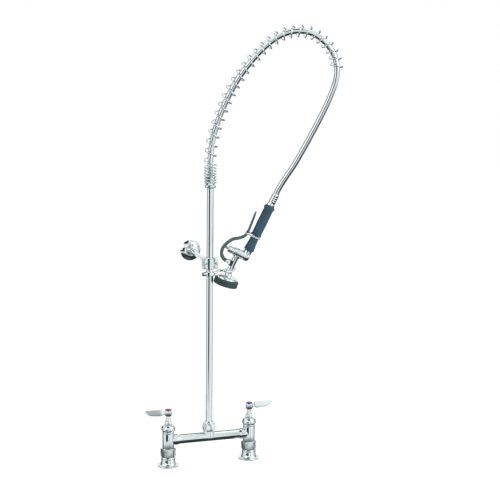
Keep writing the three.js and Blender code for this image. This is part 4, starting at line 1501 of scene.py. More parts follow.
# ---- Finger hook ----
@dataclass
class FingerHook:
    """The forked hook on the riser that the spray head hangs from."""

    finishes: Finishes
    ring_radius: float = 13.0
    bore: float = 8.6
    ring_height: float = 9.5
    arm_depth: float = 6.0
    crotch: float = 35.5
    tine_gap: float = 16.4
    tine_width: float = 4.2
    tine_end: float = 52.0
    tip_reach: float = 61.5
    tip_rise: float = 7.0
    boss_angle: float = 215.0
    boss_radius: float = 5.0
    boss_reach: float = 20.0
    screw_radius: float = 2.0

    def hook(self) -> Piece:
        """Ring, arm, yoke and the two upturned tines, with z from the ring's foot.

        Returns:
            The hook on the bench.
        """
        top = self.ring_height
        ring = Piece.rod("finger_hook_fine", self.ring_radius, 0, top, SMOOTH, 0.9)
        middle = top - 0.5 + self.arm_depth / 2
        half = self.arm_depth / 2
        line = [
            (self.ring_radius - 5, 6.2, 2.6, 4.4),
            (self.ring_radius + 1, 7.6, 2.9, 4.2),
            (self.ring_radius + 7, middle - 0.6, half, 4.0),
            (self.crotch - 8, middle, half, 4.1),
            (self.crotch - 3, middle, half, 5.4),
            (self.crotch + 1, middle, half, self.tine_gap / 2 + self.tine_width - 1.6),
            (self.crotch + 4.2, middle, half, self.tine_gap / 2 + self.tine_width - 0.4),
        ]
        ring.join(self.along(line, "arm").soften(1.1, 4, 50))
        throat = Piece.rod("throat", self.tine_gap / 2, 0, 30, SMOOTH)
        ring.cut(throat.turn(moved_by(self.crotch + self.tine_gap / 2, 0, 0)))
        tine_half = self.tine_width / 2
        tine_line = [
            (self.crotch + 2, middle, half, tine_half),
            (self.crotch + 9, middle, half * 0.96, tine_half),
            (self.tine_end - 4, middle + 0.2, half * 0.86, tine_half),
            (self.tine_end + 2, middle + 1.3, half * 0.72, tine_half),
            (self.tip_reach - 3.4, middle + self.tip_rise * 0.62, half * 0.56, tine_half * 0.92),
            (self.tip_reach, middle + self.tip_rise, half * 0.4, tine_half * 0.8),
        ]
        out = (self.tine_gap + self.tine_width) / 2
        for side in (-1, 1):
            tine = self.along(tine_line, "tine").soften(0.85, 4, 50)
            ring.join(tine.turn(moved_by(0, side * out, 0)))
        boss = Piece.rod("boss", self.boss_radius, self.bore, self.boss_reach, PLAIN, 0.6)
        ring.join(boss.turn(self.screw_frame()))
        tapped = Piece.rod("tapped", self.screw_radius + GAP, self.bore, self.boss_reach + 1, SMALL)
        ring.cut(tapped.turn(self.screw_frame()))
        return ring.cut(Piece.rod("bore", self.bore, -1, 30, SMOOTH))

    def screw_frame(self) -> Matrix:
        """The axis of the set screw, across the ring."""
        return moved_by(0, 0, self.ring_height / 2) @ turned_by(self.boss_angle, "Z") @ ALONG_X

    @staticmethod
    def along(line: Sequence[Sequence[float]], name: str) -> Piece:
        """A bar through x, z, half thickness and half width, smoothed between them.

        Args:
            line: x, z, half thickness and half width of each section.
            name: the piece's name.

        Returns:
            The bar on the bench.
        """
        points = smoothed(line, 3)
        stations = []
        for i, (x, z, thick, wide) in enumerate(points):
            before = points[max(0, i - 1)]
            after = points[min(len(points) - 1, i + 1)]
            heading = math.degrees(math.atan2(after[0] - before[0], after[1] - before[1]))
            stations.append(Station(x, z, heading, thick, wide))
        return Piece.bar(name, stations)

    def build(self) -> None:
        """Models and sets down the hook and its screw."""
        low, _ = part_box("finger_hook")
        place = ARCH @ moved_by(0, 0, low.z / MM)
        self.hook().set_down(place, Body.ROOT, Slot.CHROME, self.finishes.chrome, "finger_hook")
        end = self.boss_reach - 2.5
        screw = Piece.rod("hook_set_screw_fine", self.screw_radius, self.bore, end, SMALL, 0.3)
        screw.cut(Piece.rod("socket", 1.1, end - 1.6, end + 1, 6))
        screw.turn(self.screw_frame())
        screw.set_down(place, Body.ROOT, Slot.STEEL, self.finishes.steel, "hook_set_screw")


# ---- Hose and overbend spring ----
@dataclass
class Hose:
    """The stainless hose that arches from the riser to the grip, and the spring round its first part."""

    finishes: Finishes
    riser_top: float = 690.0
    start: float = 698.6
    radius: float = 7.0
    ridge_pitch: float = 2.6
    ridge_depth: float = 0.06
    ferrule_top: float = 149.6
    straight_end: float = 14.0
    spring_radius: float = 13.9
    wire_radius: float = 1.6
    closed_pitch: float = 6.8
    closed_turns: float = 6.5
    first_pitch: float = 23.5
    last_pitch: float = 17.5
    spring_length: float = 582.0
    steps_per_turn: int = 32
    seat_depth: float = 21.0
    seat_height: float = 7.0
    seat_bore: float = 8.6
    nut_flats: float = 20.0
    nut_height: float = 22.0
    # Where its turn with the spray valve starts in the arch's plane, how long it is, how far it falls
    bend_start: Point = (248, 0, 977)
    bend_length: float = 52.0
    bend_fall: float = 30.0
    # Centreline in the arch's plane, in metres: distance from the riser's axis, height over its top
    route: tuple[tuple[float, float], ...] = (
        (0, 0.045),
        (0.002, 0.074),
        (0.008, 0.106),
        (0.018, 0.139),
        (0.031, 0.173),
        (0.049, 0.211),
        (0.070, 0.246),
        (0.095, 0.279),
        (0.125, 0.311),
        (0.159, 0.336),
        (0.197, 0.347),
        (0.232, 0.342),
        (0.261, 0.323),
        (0.282, 0.296),
        (0.291, 0.265),
        (0.289, 0.232),
        (0.277, 0.196),
        (0.260, 0.157),
        (0.240, 0.117),
        (0.219, 0.077),
        (0.197, 0.037),
        (0.175, 0.003),
    )

    def centreline(self) -> list[Vector]:
        """The hose's own line in the arch's plane, in millimetres, a millimetre between points.

        Returns:
            The line's points, the riser's end first.
        """
        grip = ARCH.inverted() @ SPRAY
        end = [grip @ Vector((0, 0, self.ferrule_top + more)) for more in (self.straight_end, 0)]
        points = [
            (0, 0, self.start),
            *((s / MM, 0, self.riser_top + up / MM) for s, up in self.route),
            *end,
        ]
        return spaced(smoothed(points, 24), 1.0)

    def tube(self, line: Sequence[Vector]) -> Piece:
        """The hose itself: a tube of close ridges, as its strip is wound.

        Args:
            line: the hose's own line.

        Returns:
            The hose on the bench.
        """
        per_ridge = 5
        fine = spaced(line, self.ridge_pitch / per_ridge)
        shape = (1.0, 1.0, 0.55, 0.0, 0.55)
        radii = [self.radius - self.ridge_depth * (1 - shape[i % per_ridge]) for i in range(len(fine))]
        return Piece.wire("hose_fine", fine, radii, 24)

    def coil(self, line: Sequence[Vector]) -> Piece:
        """The spring's wire: a helix round the hose, closed at its foot and open above.

        Args:
            line: the hose's own line.

        Returns:
            The spring on the bench.
        """
        seat_top = self.riser_top - self.seat_depth + self.seat_height
        foot = self.start - (seat_top + GAP + self.wire_radius)
        along = -foot
        points = []
        turn = 0
        while along < self.spring_length - foot:
            angle = turn / self.steps_per_turn * 2 * math.pi
            index = min(len(line) - 2, int(max(0.0, along)))
            tangent = (line[index + 1] - line[index]).normalized()
            centre = line[index].lerp(line[index + 1], max(0.0, along) - index)
            centre.z += min(0.0, along)
            outward = Vector((-tangent.z, 0, tangent.x))
            centre += outward * (self.spring_radius * math.cos(angle))
            centre.y += self.spring_radius * math.sin(angle)
            points.append(centre)
            share = (along + foot) / self.spring_length
            pitch = self.first_pitch + (self.last_pitch - self.first_pitch) * share
            closed = turn < self.closed_turns * self.steps_per_turn
            along += (self.closed_pitch if closed else pitch) / self.steps_per_turn
            turn += 1
        return Piece.wire("overbend_spring_fine", points, self.wire_radius, 16)

    def soft(self, piece: Piece, slot: Slot, finish: bpy.types.Material, node: str) -> None:
        """Sets down a piece that curves between the riser and the spray valve, fixed in place on no CAD
        body.

        Args:
            piece: the finished piece on the bench.
            slot: not used.
            finish: its material.
            node: the CAD node that it stands for.
        """
        piece.turn(Matrix.Scale(MM, 4) @ ARCH)
        piece.rounded_off(50)
        piece.object.data.materials.append(finish)
        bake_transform(piece.object)
        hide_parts(node)
        LOG.info("%s: %d faces", piece.object.name, len(piece.object.data.polygons))

    def build(self) -> None:
        """Models and sets down the hose and its spring."""
        line = self.centreline()
        hose = self.tube(line)
        self.soft(hose, Slot.HOSE, self.finishes.hose, "hose")
        path = [(ARCH @ point) * MM for point in line[::4]]
        path.append((ARCH @ line[-1]) * MM)
        length = sum((b - a).length for a, b in zip(path, path[1:]))
        2 * self.radius * MM
        self.soft(self.coil(line), Slot.SPRING, self.finishes.spring, "overbend_spring")

    def fittings(self) -> None:
        """The spring's seat and the hose's nut on the riser."""
        low = self.riser_top - self.seat_depth
        top = low + self.seat_height
        r = self.spring_radius + GAP
        bell = arc((r - 3.4, low + 3), (3.4, 3), -80, 0, 8)
        rim = [(r, top - 0.6), (r - 0.6, top)]
        profile = [(self.seat_bore, low), *bell, *rim, (self.seat_bore, top)]
        seat = Piece.hollow("spring_seat_fine", profile)
        seat.set_down(ROOT, Body.ROOT, Slot.CHROME, self.finishes.chrome, "spring_seat")
        nut_low = top + GAP
        nut = Piece.nut("hose_nut_fine", self.nut_flats, nut_low, nut_low + self.nut_height, 1.6)
        nut.soften(0.35, 3)
        nut.set_down(ARCH, Body.ROOT, Slot.CHROME, self.finishes.chrome, "hose_nut")


# ---- Spray valve ----
@dataclass
class SprayHandle:
    """The grip, its ferrule, the valve body and what moves in it; Z runs up the grip."""

    finishes: Finishes
    grip_length: float = 118.0
    grip_radius: float = 11.4
    flange_radius: float = 13.2
    tube_radius: float = 7.4
    tube_bore: float = 4.5
    tube_foot: float = -3.7
    lower_length: float = 33.0
    groove: float = 6.4
    ferrule_length: float = 31.0
    ferrule_radius: float = 8.9
    ferrule_bore: float = 5.0
    crimps: int = 3
    crimp_pitch: float = 5.0
    drop: float = 16.0
    barrel_radius: float = 10.5
    barrel_front: float = -27.0
    barrel_back: float = 9.0
    outlet_lip: float = 2.5
    bonnet_radius: float = 8.4
    bonnet_flange: float = 10.2
    bonnet_seat: float = 4.0
    bonnet_cap: float = 14.0
    plunger_radius: float = 3.0
    plunger_reach: float = 7.0
    neck_offset: float = -20.0
    neck_radius: float = 6.9
    pivot_x: float = -33.0
    pivot_z: float = -45.7
    ear_radius: float = 5.4
    ear_half: float = 1.5
    ear_room: float = 3.5

    def upper_grip(self) -> Piece:
        """The upper sleeve with a thin flange below and a thick one on top.

        Returns:
            The sleeve on the bench.
        """
        low = self.lower_length + self.groove
        top = self.grip_length
        r = self.grip_radius
        f = self.flange_radius
        foot = [(f - 0.9, low), (f - 0.2, low + 0.7), (f - 0.2, low + 2.0), (f - 0.9, low + 2.9)]
        flare = arc((r + 1.6, low + 5.4), (1.6, 2.0), 250, 180, 6)
        span = top - 11 - low - 6
        swell = [(r + 0.4 * math.sin(math.pi * i / 12), low + 6 + span * i / 12) for i in range(13)]
        head = [
            (r + 0.5, top - 9.6),
            (f - 0.3, top - 8.2),
            (f, top - 7.4),
            (f, top - 4.2),
            (f - 0.5, top - 3.2),
            (r - 0.3, top - 2.4),
            (r - 0.6, top - 1.2),
            (r - 1.2, top),
        ]
        bore = [(self.tube_radius + 0.2, top), (self.tube_radius + 0.2, low)]
        return Piece.hollow("upper_grip_fine", foot + flare + swell + head + bore).soften(0.3, 2)

    def lower_grip(self) -> Piece:
        """The lower sleeve, wider towards the valve body.

        Returns:
            The sleeve on the bench.
        """
        foot = arc((11.1, 1.5), (1.2, 1.2), -90, 0, 5)
        top = self.lower_length
        side = [
            (12.3 - 2.2 * math.sin(math.pi / 2 * i / 8) ** 1.3, 2.6 + (top - 5.2) * i / 8)
            for i in range(9)
        ]
        bore = self.tube_radius + 0.2
        head = [(9.9, top - 1.2), (9.3, top), (bore, top), (bore, GAP)]
        return Piece.hollow("lower_grip_fine", foot + side + head)

    def ferrule(self) -> Piece:
        """The crimped ferrule that holds the hose on the grip's tube.

        Returns:
            The ferrule on the bench.
        """
        low = self.grip_length + GAP
        r = self.ferrule_radius
        crimps: Profile = []
        for i in range(self.crimps):
            z = low + 12 + i * self.crimp_pitch
            crimps += [(r, z), (r - 0.45, z + 0.5), (r - 0.45, z + 1.5), (r, z + 2)]
        end = low + self.ferrule_length
        profile = [
            (self.ferrule_bore, low),
            (9.4, low),
            (9.8, low + 0.4),
            (9.8, low + 3.6),
            (9.2, low + 4.2),
            (r - 0.6, low + 5),
            (r - 0.6, low + 9),
            (r, low + 10),
            *crimps,
            (r, end - 2),
            (r - 0.5, end - 0.7),
            (r - 1.4, end),
            (self.ferrule_bore, end),
        ]
        return Piece.hollow("hose_ferrule_fine", profile).soften(0.2, 2)

    def tube(self) -> Piece:
        """The plain tube inside the grip, seen in the ring's groove.

        Returns:
            The tube on the bench.
        """
        low = self.tube_foot
        top = self.grip_length
        bore = self.tube_bore
        r = self.tube_radius
        return Piece.hollow("handle_tube_fine", [(bore, low), (r, low), (r, top), (bore, top)], PLAIN)

    def body(self) -> Piece:
        """The valve body: a barrel across the grip, its inlet above and its outlet below.

        Returns:
            The valve body on the bench.
        """
        r = self.barrel_radius
        front = self.barrel_front
        back = self.barrel_back
        axis = -self.drop
        end = arc((r - 5.4, back - 5.4), (5.4, 5.4), 0, 84, 12)
        barrel = Piece.turned("spray_valve_body_fine", [(r - 0.7, front), (r, front + 0.7), *end])
        barrel.turn(moved_by(0, 0, axis) @ ALONG_X)
        inlet = Piece.turned("inlet", [(9.6, axis), (9.6, -1.2), (8.9, -0.2)])
        lip = axis - r - self.outlet_lip
        outlet = Piece.turned("outlet", [(7.0, lip), (7.7, lip + 0.8), (7.7, axis)])
        outlet.turn(moved_by(self.neck_offset + 1, 0, 0))
        return barrel.join(inlet).join(outlet).soften(0.5, 3, 38)

    def bonnet(self) -> Piece:
        """The valve's bonnet with its stepped cap, towards the lever.

        Returns:
            The bonnet on the bench.
        """
        seat = self.barrel_front - GAP
        step = seat - self.bonnet_seat
        front = step - self.bonnet_cap
        r = self.bonnet_radius
        bore = self.plunger_radius + GAP
        profile = [
            (bore, front),
            (r - 1.2, front),
            (r, front + 1.2),
            (r, step - 1.8),
            (r - 0.5, step - 1.3),
            (r - 0.5, step),
            (self.bonnet_flange - 1, step),
            (self.bonnet_flange, step + 1),
            (self.bonnet_flange, seat),
            (bore, seat),
        ]
        piece = Piece.hollow("spray_bonnet_fine", profile)
        return piece.soften(0.25, 2).turn(moved_by(0, 0, -self.drop) @ ALONG_X)

    def plunger(self) -> Piece:
        """The push rod that the lever presses.

        Returns:
            The plunger on the bench.
        """
        r = self.plunger_radius
        cap = self.barrel_front - GAP - self.bonnet_seat - self.bonnet_cap
        tip = cap - self.plunger_reach
        dome = arc((1.4, tip + 1.6), (1.6, 1.6), -84, 0, 7)
        collar = [(5.6, tip + 28.3), (5.6, tip + 29.3)]
        profile = [*dome, (r, tip + 27), *collar, (r, tip + 29.3), (r, tip + 38)]
        piece = Piece.turned("plunger_fine", profile, PLAIN)
        return piece.turn(moved_by(0, 0, -self.drop) @ ALONG_X)

    def neck(self) -> Piece:
        """The chrome neck down to the head, with the ears of the lever's pin.

        Returns:
            The neck on the bench.
        """
        top = -self.drop - self.barrel_radius - self.outlet_lip - GAP
        lean = math.radians(HEAD_LEAN)
        hub = HEAD_HUB + GAP
        low = [
            (HEAD_X + up * math.sin(lean), 0, HEAD_Z + up * math.cos(lean)) for up in (hub + 4, hub)
        ]
        upright = [(self.neck_offset, 0, top - down) for down in (0, 12, 24)]
        line = smoothed([*upright, *low], 6)
        neck = Piece.wire("spray_neck_fine", line, self.neck_radius, PLAIN)
        half = self.ear_half
        for side in (-1, 1):
            middle = side * (self.ear_room + half)
            ear = Piece.rod("ear", self.ear_radius, -half, half, PLAIN).turn(ALONG_Y)
            ear.turn(moved_by(self.pivot_x, middle, self.pivot_z))
            stations = [
                Station(self.pivot_x, self.pivot_z, 90, self.ear_radius, half),
                Station(self.neck_offset, self.pivot_z + 1, 90, self.ear_radius + 2, half),
            ]
            web = Piece.bar("web", stations).turn(moved_by(0, middle, 0))
            neck.join(ear.join(web))
        neck.cut(self.across("room", 7.8, self.ear_room))
        return neck.cut(self.across("pin_hole", 2.0, 9)).soften(0.4, 3, 45)

    def across(self, name: str, radius: float, half: float) -> Piece:
        """A rod across the lever's pivot."""
        rod = Piece.rod(name, radius, -half, half, PLAIN).turn(ALONG_Y)
        return rod.turn(moved_by(self.pivot_x, 0, self.pivot_z))

    def pin(self) -> Piece:
        """The lever's pin with its two upset ends.

        Returns:
            The pin on the bench.
        """
        head = [(1.9, 6.4), (2.3, 6.6), (2.3, 6.9), (1.4, 7.2)]
        foot = [(radius, -y) for radius, y in reversed(head)]
        pin = Piece.turned("lever_pin_fine", foot + head, SMALL).turn(ALONG_Y)
        return pin.turn(moved_by(self.pivot_x, 0, self.pivot_z))

    def build(self) -> None:
        """Models and sets down the handle's pieces."""
        chrome = self.finishes.chrome
        steel = self.finishes.steel
        grip = self.finishes.grip
        on_spray = (
            (self.ferrule(), Slot.CHROME, chrome, "hose_ferrule"),
            (self.tube(), Slot.CHROME, chrome, "handle_tube"),
            (self.upper_grip(), Slot.GRIP, grip, "upper_grip"),
            (self.lower_grip(), Slot.GRIP, grip, "lower_grip"),
            (self.body(), Slot.CHROME, self.finishes.cast_chrome, "spray_valve_body"),
            (self.bonnet(), Slot.CHROME, chrome, "spray_bonnet"),
            (self.neck(), Slot.CHROME, chrome, "spray_neck"),
            (self.pin(), Slot.STEEL, steel, "lever_pin"),
        )
        for piece, slot, finish, node in on_spray:
            piece.set_down(SPRAY, Body.SPRAY, slot, finish, node)
        self.plunger().set_down(SPRAY, Body.PLUNGER, Slot.STEEL, steel, "plunger")


@dataclass
class SqueezeLever:
    """The coated C-shaped squeeze lever, and the ring that holds it down."""

    finishes: Finishes
    width: float = 12.0
    root_thickness: float = 9.0
    bar_thickness: float = 7.5
    tip_thickness: float = 4.2
    root_share: float = 0.2
    tip_taper: float = 26.0
    tip_thinning: float = 12.0
    station_step: float = 2.4
    root_width: float = 6.4
    root_radius: float = 4.5
    pin_radius: float = 1.9
    ring_wire: float = 1.3
    ring_height: float = 36.4
    ring_left: float = -26.2
    ring_right: float = 12.2
    ring_half_width: float = 15.5
    # Centreline across the grip and along it
    line: tuple[tuple[float, float], ...] = (
        (-33, -45.7),
        (-45.5, -43),
        (-54.5, -34),
        (-57.3, -22),
        (-53.6, -6.8),
        (-45, 8),
        (-32.2, 17.5),
        (-22.8, 28),
        (-20.6, 38),
        (-21.8, 62),
        (-24.4, 93),
    )

    def half_thickness(self, share: float) -> float:
        """Half the bar's thickness, from its root to its tip.

        Args:
            share: how far along the bar, from 0 to 1.

        Returns:
            Half the thickness there.
        """
        bar = self.bar_thickness
        if share < self.root_share:
            return (self.root_thickness + (bar - self.root_thickness) * share / self.root_share) / 2
        along = (share - self.root_share) / (1 - self.root_share)
        return (bar + (self.tip_thickness - bar) * along ** 0.75) / 2

    def half_width(self, share: float, tip: float) -> float:
        """Half the bar's width: narrow between the ears, and drawn in like a leaf at its tip.

        Args:
            share: how far along the bar, from 0 to 1.
            tip: the distance left to the tip.

        Returns:
            Half the width there.
        """
        root = min(1.0, max(0.0, (share - 0.055) / 0.05))
        wide = self.root_width / 2 + (self.width - self.root_width) / 2 * root * root * (3 - 2 * root)
        end = min(1.0, tip / self.tip_taper)
        return wide * max(0.16, math.sin(math.pi / 2 * end) ** 0.75)

    def lever(self) -> Piece:
        """The lever's bar, its rounded root and the pin's hole.

        Returns:
            The lever on the bench.
        """
        points = spaced(smoothed(self.line, 12), self.station_step)
        count = len(points) - 1
        stations = []
        for i, point in enumerate(points):
            before = points[max(0, i - 1)]
            after = points[min(count, i + 1)]
            heading = math.degrees(math.atan2(after[0] - before[0], after[1] - before[1]))
            tip = (count - i) * self.station_step
            near_tip = min(1.0, tip / self.tip_thinning)
            thin = max(0.4, math.sin(math.pi / 2 * near_tip) ** 0.6)
            thickness = self.half_thickness(i / count) * thin
            width = self.half_width(i / count, tip)
            stations.append(Station(point[0], point[1], heading, thickness, width))
        for last, here in zip(stations, stations[1:]):
            while here.heading - last.heading > 180:
                here.heading -= 360
            while here.heading - last.heading < -180:
                here.heading += 360
        bar = Piece.bar("spray_lever_fine", stations).soften(1.7, 5, 40)
        half = self.root_width / 2
        root = Piece.rod("root", self.root_radius, -half, half, PLAIN, 0.5).turn(ALONG_Y)
        hole = Piece.rod("hole", self.pin_radius + 0.15, -half - 2, half + 2, SMALL).turn(ALONG_Y)
        pivot = moved_by(self.line[0][0], 0, self.line[0][1])
        return bar.join(root.turn(pivot)).cut(hole.turn(pivot))

    def ring(self) -> Piece:
        """The wire ring round the grip and the lever, with squared corners.

        Returns:
            The ring on the bench.
        """
        middle = (self.ring_left + self.ring_right) / 2
        half = (self.ring_right - self.ring_left) / 2
        points = []
        for i in range(SMOOTH):
            angle = 2 * math.pi * i / SMOOTH
            x = math.copysign(abs(math.cos(angle)) ** 0.8, math.cos(angle))
            y = math.copysign(abs(math.sin(angle)) ** 0.8, math.sin(angle))
            points.append((middle + half * x, self.ring_half_width * y, self.ring_height))
        return Piece.wire("hold_ring_fine", points, self.ring_wire, 16, closed=True)

    def build(self) -> None:
        """Models and sets down the lever and the ring."""
        self.lever().set_down(SPRAY, Body.SPRAY_LEVER, Slot.LEVER, self.finishes.lever, "spray_lever")
        self.ring().set_down(SPRAY, Body.HOLD_RING, Slot.STEEL, self.finishes.spring, "hold_ring")


@dataclass
class SprayHead:
    """The head: a chrome dome, its rubber bumper and the spray face, round the bumper's centre."""

    finishes: Finishes
    hub_radius: float = 8.4
    hub_top: float = HEAD_HUB
    water_way: float = 3.6
    dome_radius: float = 25.3
    bumper_radius: float = 29.0
    bumper_half: float = 7.5
    bumper_inner: float = 23.6
    face_height: float = 3.0
    face_thickness: float = 2.4
    # How many holes each ring of the face has, the ring's radius and the holes' radius
    hole_rows: tuple[tuple[int, float, float], ...] = ((10, 13.0, 1.1), (20, 17.6, 0.8), (8, 7.6, 0.8))

    def shell(self) -> Piece:
        """The domed shell with its hub.

        Returns:
            The shell on the bench.
        """
        half = self.bumper_half
        rise = self.hub_top - half - 8
        reach = self.dome_radius - self.hub_radius
        dome = [
            (self.hub_radius + reach * math.cos(a), half + 2 + rise * math.sin(a))
            for a in (math.radians(90 * i / 24) for i in range(25))
        ]
        skirt = self.bumper_inner - GAP
        profile = [
            (skirt, -half + 2),
            (skirt, half + GAP),
            (self.dome_radius, half + GAP),
            *dome[:-1],
            (self.hub_radius + 0.3, dome[-1][1]),
            (self.hub_radius, dome[-1][1] + 0.6),
            (self.hub_radius, self.hub_top - 0.7),
            (self.hub_radius - 0.7, self.hub_top),
            (self.water_way, self.hub_top),
            (self.water_way, half + 4),
            (skirt - 2, half - 1),
            (skirt - 2, -half + 2),
        ]
        return Piece.hollow("spray_head_fine", profile).soften(0.25, 2)

    def bumper(self) -> Piece:
        """The thick rubber ring, with a groove round its side and a lip over the face's edge.

        Returns:
            The bumper on the bench.
        """
        half = self.bumper_half
        r = self.bumper_radius
        low = arc((r - 2.4, -half + 2.4), (2.4, 2.4), -90, 0, 8)
        groove = [(r, half - 6.2), (r - 0.5, half - 5.8), (r - 0.5, half - 5.2), (r, half - 4.8)]
        high = arc((r - 2.4, half - 2.4), (2.4, 2.4), 0, 90, 8)
        inner = self.bumper_inner
        lip = inner - 3
        inside = [
            (inner, half),
            (inner, -half + 1.7),
            (lip, -half + 1.7),
            (lip, -half + 0.5),
            (lip + 0.5, -half),
        ]
        return Piece.hollow("rubber_bumper_fine", low + groove + high + inside)

    def face(self) -> Piece:
        """The perforated spray face.

        Returns:
            The face on the bench.
        """
        low = self.face_height - self.bumper_half
        top = low + self.face_thickness
        r = self.bumper_inner - 2.6
        face = Piece.hollow("spray_face_fine", [(2.2, low), (r, low), (r, top), (2.2, top)])
        for count, circle, radius in self.hole_rows:
            for i in range(count):
                drill = Piece.rod("drill", radius, low - 1, top + 1, 16)
                face.cut(drill.turn(turned_by(360 * i / count, "Z") @ moved_by(circle, 0, 0)))
        return face

    def screw(self) -> Piece:
        """The slotted screw in the middle of the face.

        Returns:
            The screw on the bench.
        """
        seat = self.face_height - self.bumper_half - GAP
        dome = arc((2.2, seat - 1.1), (1.4, 0.9), -90, 0, 6)
        shank = [(3.6, seat), (1.8, seat), (1.8, seat + 9)]
        screw = Piece.turned("face_screw_fine", [*dome, *shank], PLAIN)
        return screw.cut(Piece.block("slot", (-4, -0.4, seat - 3), (4, 0.4, seat - 1.2)))

    def build(self) -> None:
        """Models and sets down the head's pieces."""
        steel = self.finishes.steel
        rows = (
            (self.shell(), Slot.CHROME, self.finishes.chrome, "spray_head"),
            (self.bumper(), Slot.RUBBER, self.finishes.rubber, "rubber_bumper"),
            (self.face(), Slot.STEEL, steel, "spray_face"),
            (self.screw(), Slot.STEEL, steel, "face_screw"),
        )
        for piece, slot, finish, node in rows:
            piece.set_down(HEAD, Body.SPRAY, slot, finish, node)


# ---- CAD nodes that stay in view ----
def dress_kept_nodes(nodes: dict[str, bpy.types.Object], finishes: Finishes) -> None:
    """Gives the inner CAD nodes, which have the right shape, their finishes.

    Args:
        nodes: the CAD nodes by name.
        finishes: the faucet's finishes.
    """
    inner = {"plunger_spring": finishes.spring, "riser_washer": finishes.fibre}
    for side in ("hot", "cold"):
        inner[f"{side}_union_washer"] = finishes.fibre
        inner[f"{side}_valve_seat"] = finishes.brass
        inner[f"{side}_valve_disc"] = finishes.brass
        inner[f"{side}_seat_washer"] = finishes.rubber
        inner[f"{side}_handle_screw"] = finishes.steel
    for name, finish in inner.items():
        nodes[name].data.materials.clear()
        nodes[name].data.materials.append(finish)


